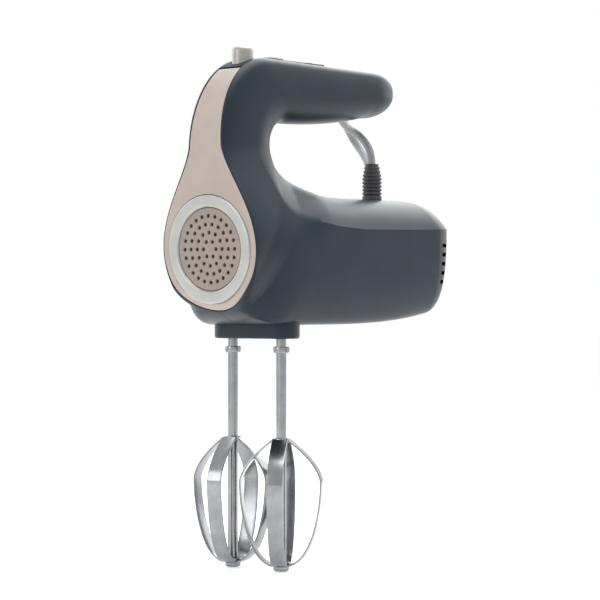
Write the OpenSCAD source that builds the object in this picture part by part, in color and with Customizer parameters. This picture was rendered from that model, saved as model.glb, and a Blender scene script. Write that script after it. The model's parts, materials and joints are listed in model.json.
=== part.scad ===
// Electric hand mixer with two beaters, held in one hand by its open C-shaped handle

/* [Housing] */
// Distance from the beater axes back to the rear end
body_rear = 157.5; // [150:0.5:175]
// Half of the width of the body
body_half_w = 40; // [39:0.5:46]
// Height of the body's underside above the nose
body_bottom = 8.5; // [7:0.5:10]
// Height of the deck under the finger gap
deck_z = 90; // [86:0.5:96]
// Distance from the beater axes forward to the middle of the grille
front_reach = 44.5; // [42:0.5:50]
// Thickness of the housing wall
wall = 2.5; // [2:0.1:3]
// Length of the vented rear cover
rear_cover_l = 20; // [14:1:26]

/* [Handle] */
// Height of the top of the handle
handle_top = 174.5; // [170:0.5:182]
// Height of the underside of the handle
handle_under = 135.5; // [131:0.5:139]
// Half of the width of the handle
handle_half_w = 16.5; // [15:0.5:20]
// Distance from the beater axes back to the tip of the handle
handle_reach = 127; // [118:1:140]
// Distance from the beater axes back to the rear of the post
post_rear = 5.5; // [2:0.5:10]

/* [Front panel] */
// Thickness of the front panel
panel_t = 2.5; // [1.5:0.1:3]
// Radius of the round lower end of the panel
round_r = 38; // [35:0.5:38.5]
// Height of the centre of the round end
round_z = 55; // [53:0.5:58]
// Half of the width of the panel's neck
neck_half_w = 13; // [9:0.5:14.5]
// Outer radius of the ring round the grille
ring_r = 33.5; // [29:0.5:35]
// Radius of the grille
grille_r = 25.4; // [20:0.1:28]

/* [Beaters] */
// Distance between the two beater axes
beater_gap = 40; // [39:0.1:41]
// Diameter of the beater shaft
shaft_d = 6.3; // [5:0.1:6.8]
// Bare shaft between the nose and the beater head
bare_shaft = 62; // [50:1:75]
// Height of the beater head
head_h = 79; // [65:1:90]
// Radius of the beater head
head_r = 26; // [22:0.5:28]
// Width of the blade strip
strip_w = 10; // [5:0.5:12]
// Thickness of the blade strip
strip_t = 1.2; // [0.8:0.1:1.6]

/* [Drive] */
// Height of the motor axis
motor_z = 48; // [46:0.5:50]
// Number of teeth of each worm gear
gear_teeth = 29; // [29:1:29]
// Thickness of the worm gears
gear_t = 10; // [6:0.5:10]
// Diameter of the motor shaft
motor_shaft_d = 6; // [5:0.1:7]
// Outer diameter of the beater spindles
spindle_d = 11; // [10:0.1:13]
// Width of the field core
core_w = 50; // [46:1:54]
// Length of the field core
core_l = 30; // [24:1:34]

/* [Controls] */
// Travel of the ejector
eject_travel = 9; // [6:0.5:9.5]
// Travel of the speed slider
slide_travel = 14; // [8:1:16]
// Travel of the turbo button
turbo_travel = 2.5; // [1:0.1:3]

/* [Cord] */
// Diameter of the cord
cord_d = 5.2; // [4.6:0.1:5.4]
// Number of loops in the tied coil
coil_loops = 5.25; // [3.25:1:6.25]

/* [Hidden] */
$fn = 48;

// Centre of the grip, which is the origin of the part
grip_y = 65;
grip_z = 155;

// Clearances: seated pieces, running shafts, pressed pieces, pieces of different bodies,
// and cutters past a face
seat = 0.1;
running = 0.05;
press = 0.02;
apart = 0.3;
past = 1;
far = 400;

// Colours
slate = "#3e454c";
champagne = "#c5bab3";
greige = "#a0968f";
silver_grey = "#adacab";
steel = "#c9cbcd";
copper = "#b4703a";
dark = "#2c2b30";
white_plastic = "#d9d8d2";

// Form of the housing
heel_rise = 11;
floor_from = 25;
body_flat = 26;
body_level = 0.48;
crown = 2.6;
rear_round = 22;
rear_drop = 9;
rear_rise = 17;
rear_narrow = 16;
chin_y = 10;
chin_z = 34;
brow_y = 3;
brow_z = 118;
front_lean = 3.4;
flare_h = brow_z - round_z;
flare_power = 1.4;
gap_h = handle_under - deck_z;
fillet_y = 62;
fillet_z = 0.64 * gap_h;
upper_fillet_r = 0.33 * gap_h;
handle_flat = 7;
tip_round = 24;
tip_narrow = 10;
under_rise = 8;
top_fall = 1.5;
tip_h = handle_top - top_fall - handle_under - under_rise;
tip_drop = 0.3 * tip_h;
tip_rise = 0.4 * tip_h;
rear_split = body_rear - rear_cover_l;

// Moves the working frame, whose zero lies midway between the beaters at the nose, to the grip
module place() {
  translate([0, -grip_y, -grip_z]) children();
}

// A cylinder along +Y from the given point
module along_y(r, l) {
  rotate([-90, 0, 0]) cylinder(r = r, h = l);
}

// A cylinder along +X from the given point
module along_x(r, l) {
  rotate([0, 90, 0]) cylinder(r = r, h = l);
}

// A box from one corner to the opposite one
module box(low, high) {
  translate(low) cube(high - low);
}

function mix(a, b, s) = a + (b - a) * s;

// Share of the round lower front that is left at a height: 1 at the grille, 0 at the neck
function round_share(z) =
  let (s = min(max((z - round_z) / flare_h, 0), 1))
  pow(max(cos(90 * s), 0), flare_power);
function panel_half_w(z) = mix(neck_half_w, round_r, round_share(z));
function side_half_w(z) = mix(handle_half_w, body_half_w - 1, round_share(z));
function flare_share(z) = side_half_w(z) / side_half_w(round_z);

// One station of the housing: outer and inner edge point, flat half width, half width, level of the
// widest line between the edges (-1 to 1), sharpness of the shoulder above it, and how far its width
// follows the flare of the front
function station(outer, inner, flat, half, level, crease, inset, back, flare = 0) =
  let (way = (inner - outer) / norm(inner - outer))
  [outer + way * (inset + back), inner - way * inset, max(flat - inset, 1), half - inset, level, crease,
    flare];

function floor_z(y) = body_bottom + heel_rise * pow(max(y - floor_from, 0) / (body_rear - floor_from), 3);
deck_from = post_rear + fillet_y;
function front_y(z) = front_reach + (z - round_z) * tan(front_lean);
function inner_low(a) = [post_rear + fillet_y * (1 - sin(a)), deck_z + fillet_z * (1 - cos(a))];
function inner_high(a) = [post_rear, handle_under] + upper_fillet_r * [1 - cos(a), sin(a) - 1];
function outer_low(b) = [-mix(chin_y, front_y(chin_z), sin(b)), mix(chin_z, body_bottom, cos(b))];
function outer_high(g) = [-mix(brow_y, front_y(brow_z), cos(g)), mix(brow_z, handle_top, sin(g))];

// Half width of the panel's round end, with a least width below it
function round_half_w(z) = sqrt(pow(round_r, 2) - pow(min(round_z - z, round_r - 1), 2));
function chin_flat(b) = mix(body_flat, round_half_w(outer_low(b)[1]), pow(min(b / 60, 1), 2));
function front_half_w(z) = z < round_z ? round_half_w(z) : panel_half_w(z);

// Stations from the rear end, round the chin and the brow, to the tip of the handle
function rear_stations(d) = [
  for (a = [90, 66, 44, 22, 0])
    let (s = 1 - cos(a), y = body_rear - d - rear_round * (1 - sin(a)))
    station([y, floor_z(y) + rear_rise * s], [y, deck_z - rear_drop * s], body_flat * (1 - s / 2),
      body_half_w - rear_narrow * s, body_level, 1, d, 0)];
function deck_stations(d) = [
  for (y = [mix(deck_from, body_rear - rear_round, 0.5), deck_from])
    station([y, floor_z(y)], [y, deck_z], body_flat, body_half_w, body_level, 1, d, 0)];
function chin_stations(d, back) = [
  for (p = [[0, 25], [30, 42], [52, 56], [70, 68], [80, 74], [90, 80]])
    let (s = p[0] / 90)
    station(outer_low(p[0]), inner_low(p[1]), chin_flat(p[0]),
      mix(body_half_w, side_half_w(round_z), s * s), mix(body_level, 0.3, s), 1 - 0.5 * s, d,
      p[0] > 25 ? back : 0, min(p[0] / 52, 1))];
function front_stations(d, back) = [
  for (s = [0.12 : 0.11 : 0.89])
    let (z = mix(chin_z, brow_z, s))
    station([-front_y(z), z], mix(inner_low(90), inner_high(0), s), front_half_w(z) / flare_share(z),
      side_half_w(round_z), mix(0.3, 0.1, s), 0.5 * (1 - s), d, back, 1)];
function brow_stations(d, back) = [
  for (p = [[0, 0], [16, 12], [32, 26], [48, 42], [62, 58], [76, 74], [90, 90]])
    station(outer_high(p[0]), inner_high(p[1]), mix(neck_half_w, handle_flat, p[0] / 90), handle_half_w,
      0.1, 0, d, p[0] < 80 ? back : 0)];
function handle_stations(d) = [
  for (s = [0.3, 0.65])
    let (y = mix(-brow_y, handle_reach - tip_round, s),
      under_y = mix(post_rear + upper_fillet_r, handle_reach - tip_round, s))
    station([y, handle_top - top_fall * s], [under_y, handle_under + under_rise * s * s], handle_flat,
      handle_half_w, 0, 0, d, 0)];
function tip_stations(d) = [
  for (a = [0, 22, 44, 66, 90])
    let (s = 1 - cos(a), y = handle_reach - d - tip_round * (1 - sin(a)))
    station([y, handle_top - top_fall - tip_drop * s], [y, handle_under + under_rise + tip_rise * s],
      handle_flat * (1 - s / 2), handle_half_w - tip_narrow * s, 0, 0, d, 0)];
function housing_stations(d, back) = concat(rear_stations(d), deck_stations(d), chin_stations(d, back),
  front_stations(d, back), brow_stations(d, back), handle_stations(d), tip_stations(d));

// Half outline of a station: flat outer face, rounded side up to the shoulder, crowned inner face
function half_outline(st) = concat(
  [[0, -1]],
  [for (q = [0 : 15 : 90])
    [st[2] + (st[3] - st[2]) * pow(sin(q), 0.8), st[4] - (1 + st[4]) * pow(cos(q), 0.8)]],
  [for (i = [1 : 7])
    let (v = i / 7)
    [st[3] * mix(cos(90 * v), 1 - v, st[5]),
      st[4] + (1 - st[4]) * mix(sin(90 * v), 1 - pow(1 - v, crown), st[5])]]);
function station_ring(st) =
  let (half = half_outline(st), last = len(half) - 1,
    outline = concat(half, [for (i = [last - 1 : -1 : 1]) [-half[i][0], half[i][1]]]))
  [for (p = outline)
    let (c = mix(st[0], st[1], (p[1] + 1) / 2))
    [p[0] * mix(1, flare_share(c[1]), st[6]), c[0], c[1]]];

// A closed skin over rings of equal point count, with its two end faces
module skin(rings) {
  n = len(rings[0]);
  last = len(rings) - 1;
  sides = [for (k = [0 : last - 1], i = [0 : n - 1], part = [0, 1])
    let (a = k * n + i, b = k * n + (i + 1) % n)
    part == 0 ? [a, a + n, b] : [b, a + n, b + n]];
  polyhedron(points = [for (r = rings, p = r) p],
    faces = concat(sides, [[for (i = [0 : n - 1]) i]], [[for (i = [n - 1 : -1 : 0]) last * n + i]]));
}

// The housing's form, drawn in by inset all round and set back under the front panel
module housing_form(inset, back) {
  skin([for (st = housing_stations(inset, back)) station_ring(st)]);
}

// Places of the inner pieces
nose_r = 11.5;
ring_depth = 7;
nose_lip = 2.5;
nose_lip_t = 1.3;
frame_z = body_bottom + wall + seat + nose_lip_t;
frame_t = 4;
eject_y = -13.5;
eject_r = 6;
eject_rest = handle_top + 6.5;
eject_rod_top = handle_top - 18;
rod_r = 2.5;
lug_z = 96;
lug_t = 4;
spring_closed = 16;
flange_z = lug_z + lug_t + spring_closed + eject_travel;
flange_t = 2;
worm_crest = 6.4;
fork_z = motor_z + worm_crest + 2 * apart + eject_travel;
fork_t = 4;
pin_r = shaft_d / 2 - 0.4;
shaft_top = motor_z - 8;
relief_y = 116;
relief_r = 6.5;
relief_top = 114;
taper_l = 10;
taper_end = 2;
flange_gap = 4;
sleeve_flange_t = 2.5;
clamp_t = 6;
board_z = handle_under + 12.5;
board_t = 2;
bezel_low = 2;
bezel_high = 58;
bezel_half = 7.4;
bezel_z = handle_top + 0.4;
flange_low = handle_top - 5.7;
flange_high = handle_top - 3.9;
slider_y = 14;
turbo_y = 47;
turbo_r = 5;
switch_top = flange_low - 2.6;
turbo_switch_top = board_z + board_t + 8;
flange_w = 1.4;
knob_half_x = 5.5;
knob_half_y = 6;
knob_h = 1.6;
stem_half = 2;
foot_t = 2;
turbo_h = 1;
turbo_foot_t = 3;
pusher_r = 1.5;
button_edge = 1;
switch_half = 8;
board_half = handle_half_w - wall - 4;
board_ends = [bezel_low + 13, bezel_high + 20];
ledge_spots = [board_ends[0] + 5, board_ends[1] - 8];

// Housing screws: their places seen from the side, and their sizes
screw_spots = [[130, 58], [118, 30], [-27, 29], [-34, 120], [100, 156]];
screw_r = 1.5;
screw_head_r = 2.8;
screw_head_t = 2;
screw_seat = 8;
screw_grip = 9;
post_r = 4.5;

// Two circles joined by a straight middle
module obround(r, half) {
  translate([-half, 0]) circle(r);
  translate([half, 0]) circle(r);
  square([2 * half, 2 * r], center = true);
}

module nose_outline(grow) {
  obround(nose_r + grow, beater_gap / 2);
}

module button_outline(grow) {
  rotate(90) obround(eject_r + grow, 1);
}

// One row of the front panel: across its face and back again, panel_t thick less a seat
function panel_row(outer, inner, half) =
  let (way = (inner - outer) / norm(inner - outer), under = outer + way * (panel_t - seat))
  concat([for (i = [-3 : 3]) [half * i / 3, outer[0], outer[1]]],
    [for (i = [3 : -1 : -3]) [half * i / 3, under[0], under[1]]]);
chin_top = acos((chin_z - round_z + round_r - 0.4) / (chin_z - body_bottom));
panel_rows = concat(
  [for (s = [0 : 0.2 : 0.8])
    let (b = mix(chin_top, 90, s))
    panel_row(outer_low(b), inner_low(mix(56, 80, (b - 52) / 38)), round_half_w(outer_low(b)[1]))],
  [for (s = [0 : 0.06 : 1])
    let (z = mix(chin_z, brow_z, s))
    panel_row([-front_y(z), z], mix(inner_low(90), inner_high(0), s), front_half_w(z))],
  [for (p = [[0, 0], [16, 12], [32, 26], [48, 42], [62, 58]])
    panel_row(outer_high(p[0]), inner_high(p[1]), mix(neck_half_w, handle_flat, p[0] / 90))]);

// Room behind the joint of the rear cover, below the finger gap
module rear_part() {
  box([-far, rear_split, -far], [far, far, (deck_z + handle_under) / 2]);
}

// Frame of the grille: its zero on the front's surface, +Y straight into the housing
module at_grille() {
  translate([0, -front_reach, round_z]) rotate([front_lean, 0, 0]) children();
}

module ring_hole() {
  at_grille() translate([0, -panel_t, 0]) along_y(ring_r + seat, panel_t + ring_depth + past);
}

// Everything that is cut out of the two housing halves
module shell_openings() {
  translate([0, 0, -past]) linear_extrude(frame_z + past) nose_outline(seat);
  ring_hole();
  translate([0, eject_y, eject_rod_top - 3]) linear_extrude(far) button_outline(apart);
  box([-bezel_half - seat, bezel_low - seat, switch_top], [bezel_half + seat, bezel_high + seat, far]);
  translate([0, relief_y, deck_z - 2 * wall]) cylinder(r = relief_r + seat, h = 3 * wall);
  rear_part();
  for (p = screw_spots) {
    translate([-far, p[0], p[1]]) along_x(screw_head_r + apart, far - screw_seat);
    translate([-screw_seat - past, p[0], p[1]]) along_x(screw_r + seat, screw_seat + screw_grip + 2 * past);
  }
}

// Screw posts and the ledges that carry the control board
module shell_posts() {
  for (p = screw_spots) {
    translate([-far / 2, p[0], p[1]]) along_x(post_r, far);
  }
  for (y = ledge_spots) {
    box([-far, y, handle_under - 2 * wall], [far, y + wall, board_z]);
  }
}

// One housing half, kept on the side that is asked for; the empty resize keeps its size
module shell_half(side) {
  resize([0, 0, 0]) intersection() {
    difference() {
      union() {
        difference() {
          housing_form(0, panel_t);
          housing_form(wall, panel_t);
        }
        intersection() {
          housing_form(wall / 2, panel_t);
          shell_posts();
        }
      }
      shell_openings();
    }
    translate([side * far / 2, 0, 0]) cube([far, 2 * far, 2 * far], center = true);
  }
}

module left_shell() {
  color(slate) place() shell_half(1);
}

module right_shell() {
  color(slate) place() shell_half(-1);
}

// Rear cover with a column of air slots in each side
slot_count = 5;
slot_pitch = 6;
slot_h = 2.4;
module rear_cover() {
  color(slate) place() resize([0, 0, 0]) difference() {
    intersection() {
      housing_form(0, 0);
      rear_part();
    }
    housing_form(wall, 0);
    for (i = [0 : slot_count - 1]) {
      translate([0, rear_split + rear_cover_l * 0.4, motor_z + slot_pitch * (i - (slot_count - 1) / 2)])
        cube([far, rear_cover_l * 0.4, slot_h], center = true);
    }
  }
}

// Flat rubber pad on which the mixer stands on its end
heel_w = 30;
heel_h = 22;
heel_t = 2;
module heel_pad() {
  heel_z = (floor_z(body_rear) + deck_z) / 2;
  color(dark) place() translate([0, body_rear + heel_t, heel_z]) rotate([90, 0, 0])
    linear_extrude(heel_t) obround(heel_h / 2, (heel_w - heel_h) / 2);
}

module front_fascia() {
  color(champagne) place() resize([0, 0, 0]) difference() {
    skin(panel_rows);
    ring_hole();
  }
}

// Ring with an inner step that the grille rests on
ring_step = 2.4;
grille_t = 3;
ring_proud = 0.8;
module grille_ring() {
  color(silver_grey) place() at_grille() rotate([90, 0, 0]) rotate_extrude($fn = 96) polygon([
    [grille_r - ring_step, -ring_depth], [ring_r, -ring_depth],
    [ring_r, 0], [ring_r - ring_proud, ring_proud],
    [grille_r + seat + ring_proud, ring_proud], [grille_r + seat, 0], [grille_r + seat, -grille_t],
    [grille_r - ring_step, -grille_t]]);
}

// Round grille: rows of holes round a plain middle
hole_r = 1.2;
row_step = 5.1;
hole_rows = 4;
module front_grille() {
  color(greige) place() at_grille() difference() {
    along_y(grille_r, grille_t);
    for (row = [1 : hole_rows], i = [0 : 6 * row - 1]) {
      translate(row * row_step * [cos(60 * i / row), 0, sin(60 * i / row)] + [0, -past, 0])
        along_y(hole_r, grille_t + 2 * past);
    }
  }
}

// Nose that holds the lower bearings of the two spindles
module nose_collar() {
  color(slate) place() difference() {
    union() {
      linear_extrude(frame_z) nose_outline(0);
      intersection() {
        translate([0, 0, frame_z - nose_lip_t]) linear_extrude(nose_lip_t) nose_outline(nose_lip);
        box([-beater_gap / 2 - 2, seat - chin_y, 0], [beater_gap / 2 + 2, far, far]);
      }
    }
    for (side = [-1, 1]) {
      translate([side * beater_gap / 2, 0, -past])
        cylinder(r = spindle_d / 2 + running, h = frame_z + 2 * past);
    }
  }
}

module control_bezel() {
  color(slate) place() difference() {
    union() {
      box([-bezel_half, bezel_low, flange_high], [bezel_half, bezel_high, bezel_z]);
      box([-bezel_half - flange_w, bezel_low, flange_low], [bezel_half + flange_w, bezel_high, flange_high]);
    }
    box([-stem_half - apart, slider_y - stem_half - apart, 0],
      [stem_half + apart, slider_y + stem_half + slide_travel + apart, far]);
    translate([0, turbo_y, 0]) cylinder(r = turbo_r + apart, h = far);
  }
}

module eject_button() {
  color(silver_grey) place() translate([0, eject_y, 0]) {
    translate([0, 0, eject_rod_top])
      linear_extrude(eject_rest - button_edge - eject_rod_top) button_outline(0);
    translate([0, 0, eject_rest - button_edge]) linear_extrude(button_edge) button_outline(-button_edge);
  }
}

module eject_rod() {
  color(white_plastic) place() translate([0, eject_y, 0]) {
    translate([0, 0, fork_z + fork_t]) cylinder(r = rod_r, h = eject_rod_top - fork_z - fork_t);
    translate([0, 0, flange_z]) cylinder(r = 2 * rod_r, h = flange_t);
  }
}

// Fork whose two pins push the beaters out of the spindles
module eject_fork() {
  arm = 4;
  color(white_plastic) place() {
    box([-beater_gap / 2 - arm, -arm, fork_z], [beater_gap / 2 + arm, arm, fork_z + fork_t]);
    box([-arm, eject_y - rod_r - 0.5, fork_z], [arm, -arm, fork_z + fork_t]);
    for (side = [-1, 1]) {
      translate([side * beater_gap / 2, 0, shaft_top + apart])
        cylinder(r = pin_r, h = fork_z - shaft_top - apart);
    }
  }
}

// Rings of a tube along a path; no stretch of the path runs along the side vector
function tube_rings(path, r, sides, side) = [
  for (k = [0 : len(path) - 1])
    let (ahead = path[min(k + 1, len(path) - 1)] - path[max(k - 1, 0)],
      u = cross(ahead, side) / norm(cross(ahead, side)),
      w = cross(u, ahead) / norm(ahead))
    [for (i = [0 : sides - 1]) path[k] + r * (u * cos(360 * i / sides) + w * sin(360 * i / sides))]];

// A coil spring on the Z axis, with 8 rings to each curl
module spring(r, wire_r, low, high, curls) {
  path = [for (k = [0 : 8 * curls])
    [r * cos(45 * k), r * sin(45 * k), mix(low + wire_r, high - wire_r, k / (8 * curls))]];
  skin(tube_rings(path, wire_r, 6, [0, 0, 1]));
}

module eject_spring() {
  wire_r = 0.5;
  color(steel) place() translate([0, eject_y, 0])
    spring(rod_r + 2 * wire_r + 0.2, wire_r, lug_z + lug_t, flange_z, 8);
}

module speed_slider() {
  foot_top = flange_low - apart;
  color(silver_grey) place() translate([0, slider_y, 0]) {
    box([-knob_half_x, -knob_half_y, bezel_z + apart], [knob_half_x, knob_half_y, bezel_z + knob_h]);
    box([-stem_half, -stem_half, foot_top - foot_t / 2], [stem_half, stem_half, bezel_z + knob_h / 2]);
    box([-knob_half_x, -knob_half_y, foot_top - foot_t], [knob_half_x, knob_half_y, foot_top]);
  }
}

module speed_switch() {
  color(dark) place() box([-switch_half, slider_y - switch_half, board_z + board_t],
    [switch_half, slider_y + slide_travel + switch_half, switch_top]);
}

module turbo_button() {
  foot_low = flange_low - apart - turbo_foot_t;
  pusher_low = turbo_switch_top + turbo_travel + apart;
  color(silver_grey) place() translate([0, turbo_y, 0]) {
    translate([0, 0, foot_low]) cylinder(r = turbo_r, h = bezel_z + turbo_h - foot_low);
    translate([0, 0, foot_low]) cylinder(r = turbo_r + flange_w, h = turbo_foot_t);
    translate([0, 0, pusher_low]) cylinder(r = pusher_r, h = foot_low + turbo_foot_t / 2 - pusher_low);
  }
}

module turbo_switch() {
  half = turbo_r + 1;
  color(dark) place()
    box([-half, turbo_y - turbo_r, board_z + board_t], [half, turbo_y + half, turbo_switch_top]);
}

module turbo_spring() {
  wire_r = 0.4;
  color(steel) place() translate([0, turbo_y, 0])
    spring(pusher_r + 2 * wire_r + apart, wire_r, turbo_switch_top, flange_low - apart - turbo_foot_t, 5);
}

module control_board() {
  color("#3f6b4a") place()
    box([-board_half, board_ends[0], board_z], [board_half, board_ends[1], board_z + board_t]);
}

// Motor and drive, placed along the motor axis
worm_half = 11;
bearing_r = 5;
front_block = [-22, -15];
wall_low = 26;
wall_high = 30;
core_low = 52;
core_high = core_low + core_l;
core_h = 44;
armature_r = 15;
bolt_x = core_w / 2 - 4;
bolt_z = core_h / 2 - 4;
bracket_low = core_high + 27;
bracket_high = bracket_low + 8;
commutator_r = 7;
commutator_l = 12;
winding_r = 12;
winding_l = 5;
fan_gap = 4;
frame_half = beater_gap / 2 + spindle_d / 2 + 1;
block_half = 8;
block_low = frame_z + frame_t - past;
block_top = motor_z + bearing_r + 1.3;
gusset_y = -chin_y + 3;
gusset_top = motor_z - worm_crest - 1.6;
mast_half = 5.5;
mast_t = 4.5;
pillar_r = 3.5;
screw_bite = 10;
leg_x = core_w / 2 - 7;
leg_t = 4;
bracket_half = 9;
brush_half = 2.5;
brush_l = 7;

module on_motor_axis(y) {
  translate([0, y, motor_z]) children();
}

// Frame that carries the spindles, the motor shaft, the field core and the ejector rod
module gear_frame() {
  color("#b9bcbe") place() difference() {
    union() {
      box([-frame_half, -chin_y, frame_z], [frame_half, wall_high, frame_z + frame_t]);
      box([-block_half, front_block[0], block_low], [block_half, front_block[1], block_top]);
      box([-block_half, front_block[1] - past, block_low], [block_half, gusset_y, gusset_top]);
      box([-mast_half, front_block[0], block_top - past],
        [mast_half, front_block[0] + mast_t, lug_z + lug_t]);
      box([-mast_half, front_block[0], lug_z], [mast_half, eject_y + 2 * rod_r, lug_z + lug_t]);
      box([-frame_half, wall_low, frame_z], [frame_half, wall_high, motor_z + core_h / 2]);
      for (sx = [-1, 1], sz = [-1, 1]) {
        translate([sx * bolt_x, wall_high - past, motor_z + sz * bolt_z])
          along_y(pillar_r, core_low - wall_high + past);
      }
    }
    for (side = [-1, 1]) {
      translate([side * beater_gap / 2, 0, 0])
        cylinder(r = spindle_d / 2 + running, h = frame_z + frame_t + past);
    }
    on_motor_axis(front_block[0] - past)
      along_y(bearing_r + press, front_block[1] - front_block[0] + 2 * past);
    on_motor_axis(wall_low - past) along_y(motor_shaft_d / 2 + 1, wall_high - wall_low + 2 * past);
    translate([0, eject_y, lug_z - past]) cylinder(r = rod_r + running, h = lug_t + 2 * past);
    for (sx = [-1, 1], sz = [-1, 1]) {
      translate([sx * bolt_x, core_low - screw_bite - 2, motor_z + sz * bolt_z])
        along_y(screw_r + running, screw_bite + 2 + past);
    }
  }
}

module bearing(y, l) {
  on_motor_axis(y) difference() {
    along_y(bearing_r, l);
    translate([0, -past, 0]) along_y(motor_shaft_d / 2 + running, l + 2 * past);
  }
}

module front_bearing() {
  color("#b08d57") place() bearing(front_block[0], front_block[1] - front_block[0]);
}

module rear_bearing() {
  color("#b08d57") place() bearing(bracket_low, bracket_high - bracket_low);
}

// Bracket that holds the rear bearing, with two legs to the field core
module rear_bracket() {
  color("#b9bcbe") place() difference() {
    union() {
      on_motor_axis(0)
        box([-leg_x - leg_t, bracket_low, -bracket_half], [leg_x + leg_t, bracket_high, bracket_half]);
      for (side = [-1, 1]) {
        on_motor_axis(0) box([side * (leg_x + leg_t / 2) - leg_t / 2, core_high, -leg_t],
          [side * (leg_x + leg_t / 2) + leg_t / 2, bracket_low + past, leg_t]);
      }
    }
    on_motor_axis(bracket_low - past) along_y(bearing_r + press, bracket_high - bracket_low + 2 * past);
  }
}

brush_y = core_high + 19;
module brush_holders() {
  color(dark) place() for (side = [0, 1]) {
    on_motor_axis(brush_y) mirror([side, 0, 0]) difference() {
      box([commutator_r + 1, -leg_t, -leg_t], [leg_x, leg_t, leg_t]);
      box([0, -brush_half - seat, -brush_half - seat],
        [commutator_r + brush_l + seat, brush_half + seat, brush_half + seat]);
    }
  }
}

module carbon_brushes() {
  color("#2a2a2a") place() for (side = [0, 1]) {
    on_motor_axis(brush_y) mirror([side, 0, 0])
      box([commutator_r + apart, -brush_half, -brush_half], [commutator_r + brush_l, brush_half, brush_half]);
  }
}

module motor_screws() {
  color(steel) place() for (sx = [-1, 1], sz = [-1, 1]) {
    translate([sx * bolt_x, core_low - screw_bite, motor_z + sz * bolt_z])
      along_y(screw_r, core_l + screw_bite);
    translate([sx * bolt_x, core_high, motor_z + sz * bolt_z]) along_y(screw_head_r, screw_head_t);
  }
}

// Field core with a bore for the armature and two windows for the coils
window_half = 9;
window_h = 3;
module field_core() {
  color("#6f7275") place() on_motor_axis(core_low) difference() {
    box([-core_w / 2, 0, -core_h / 2], [core_w / 2, core_l, core_h / 2]);
    translate([0, -past, 0]) along_y(armature_r + 0.8, core_l + 2 * past);
    for (sz = [-1, 1]) {
      translate([0, core_l / 2, sz * (armature_r + window_h / 2)])
        cube([2 * window_half, core_l + 2 * past, window_h + 0.8], center = true);
    }
    for (sx = [-1, 1], sz = [-1, 1]) {
      translate([sx * bolt_x, -past, sz * bolt_z]) along_y(screw_r + running, core_l + 2 * past);
    }
  }
}

module field_coils() {
  coil_out = 6;
  color(copper) place() on_motor_axis(core_low + core_l / 2) for (sz = [-1, 1]) {
    translate([0, 0, sz * (armature_r + window_h / 2 + 0.8)])
      cube([2 * window_half - 0.2, core_l + 2 * coil_out, window_h - 0.9], center = true);
  }
}

module motor_shaft() {
  color(steel) place() on_motor_axis(front_block[0] - 1)
    along_y(motor_shaft_d / 2, bracket_high - front_block[0] + 2);
}

// A sleeve pressed on the motor shaft
module on_shaft(y, r, l) {
  on_motor_axis(y) difference() {
    along_y(r, l);
    translate([0, -past, 0]) along_y(motor_shaft_d / 2 + press, l + 2 * past);
  }
}

module armature_core() {
  color("#6f7275") place() on_shaft(core_low, armature_r, core_l);
}

module armature_windings() {
  color(copper) place() for (y = [core_low - winding_l, core_high]) {
    on_shaft(y, winding_r, winding_l);
  }
}

module commutator() {
  color(copper) place() on_shaft(brush_y - commutator_l / 2, commutator_r, commutator_l);
}

module cooling_fan() {
  fan_r = 20;
  fan_l = 10;
  hub = 6;
  plate = 1.5;
  vane_half = 0.6;
  color(white_plastic) place() on_motor_axis(wall_high + fan_gap) difference() {
    union() {
      along_y(hub, fan_l);
      along_y(fan_r, plate);
      for (a = [0 : 36 : 324]) {
        rotate([0, a, 0]) box([hub - past, 0, -vane_half], [fan_r, fan_l, vane_half]);
      }
    }
    translate([0, -past, 0]) along_y(motor_shaft_d / 2 + press, fan_l + 2 * past);
  }
}

// Worm and gears share one pitch; the worm lies midway between the two gears
tooth_pitch = 360 / gear_teeth;
gear_pitch_r = 14.5 + (beater_gap - 40) / 2;
worm_lead = 2 * PI * gear_pitch_r / gear_teeth;
worm_root = 4.4;
tooth_out = 0.9;
tooth_in = 1.3;
tooth_foot = 0.95;
tooth_top = 0.36;
worm_turns = 10;
worm_rows = [[-0.13, worm_crest], [0.13, worm_crest], [0.34, worm_root], [0.66, worm_root]];

// Screw-shaped skin: rows of points that climb one lead per turn, closed on the axis at both ends
module worm_thread() {
  columns = 16;
  rows = 4 * worm_turns;
  points = concat(
    [for (j = [0 : rows], i = [0 : columns - 1])
      let (row = worm_rows[j % 4], a = 360 * i / columns,
        y = worm_lead * (i / columns + floor(j / 4) + row[0] + 0.25 - worm_turns / 2))
      [row[1] * sin(a), y, row[1] * cos(a)]],
    [[0, -worm_lead * worm_turns / 2, 0], [0, worm_lead * (worm_turns / 2 + 1), 0]]);
  low_point = (rows + 1) * columns;
  high_point = low_point + 1;
  sides = [for (j = [0 : rows - 1], i = [0 : columns - 1], part = [0, 1])
    let (a = j * columns + i, turned = i == columns - 1,
      b = turned ? (j + 4) * columns : a + 1)
    if (!turned || j < rows - 4)
      part == 0 ? [a, a + columns, b] : [b, a + columns, b + columns]];
  low_edge = concat([for (i = [0 : columns - 1]) i], [for (j = [4 : -1 : 1]) j * columns]);
  high_edge = concat([for (i = [0 : columns - 1]) rows * columns + i],
    [for (j = [rows - 1 : -1 : rows - 4]) j * columns + columns - 1]);
  low_end = [for (i = [0 : len(low_edge) - 1]) [low_point, low_edge[i], low_edge[(i + 1) % len(low_edge)]]];
  high_end = [for (i = [0 : len(high_edge) - 1])
    [high_point, high_edge[(i + 1) % len(high_edge)], high_edge[i]]];
  polyhedron(points = points, faces = concat(sides, low_end, high_end));
}

module worm() {
  color(steel) place() on_motor_axis(0) resize([0, 0, 0]) difference() {
    intersection() {
      worm_thread();
      translate([0, -worm_half, 0]) along_y(worm_crest + past, 2 * worm_half);
    }
    translate([0, -far / 2, 0]) along_y(motor_shaft_d / 2 + press, far);
  }
}

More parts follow.
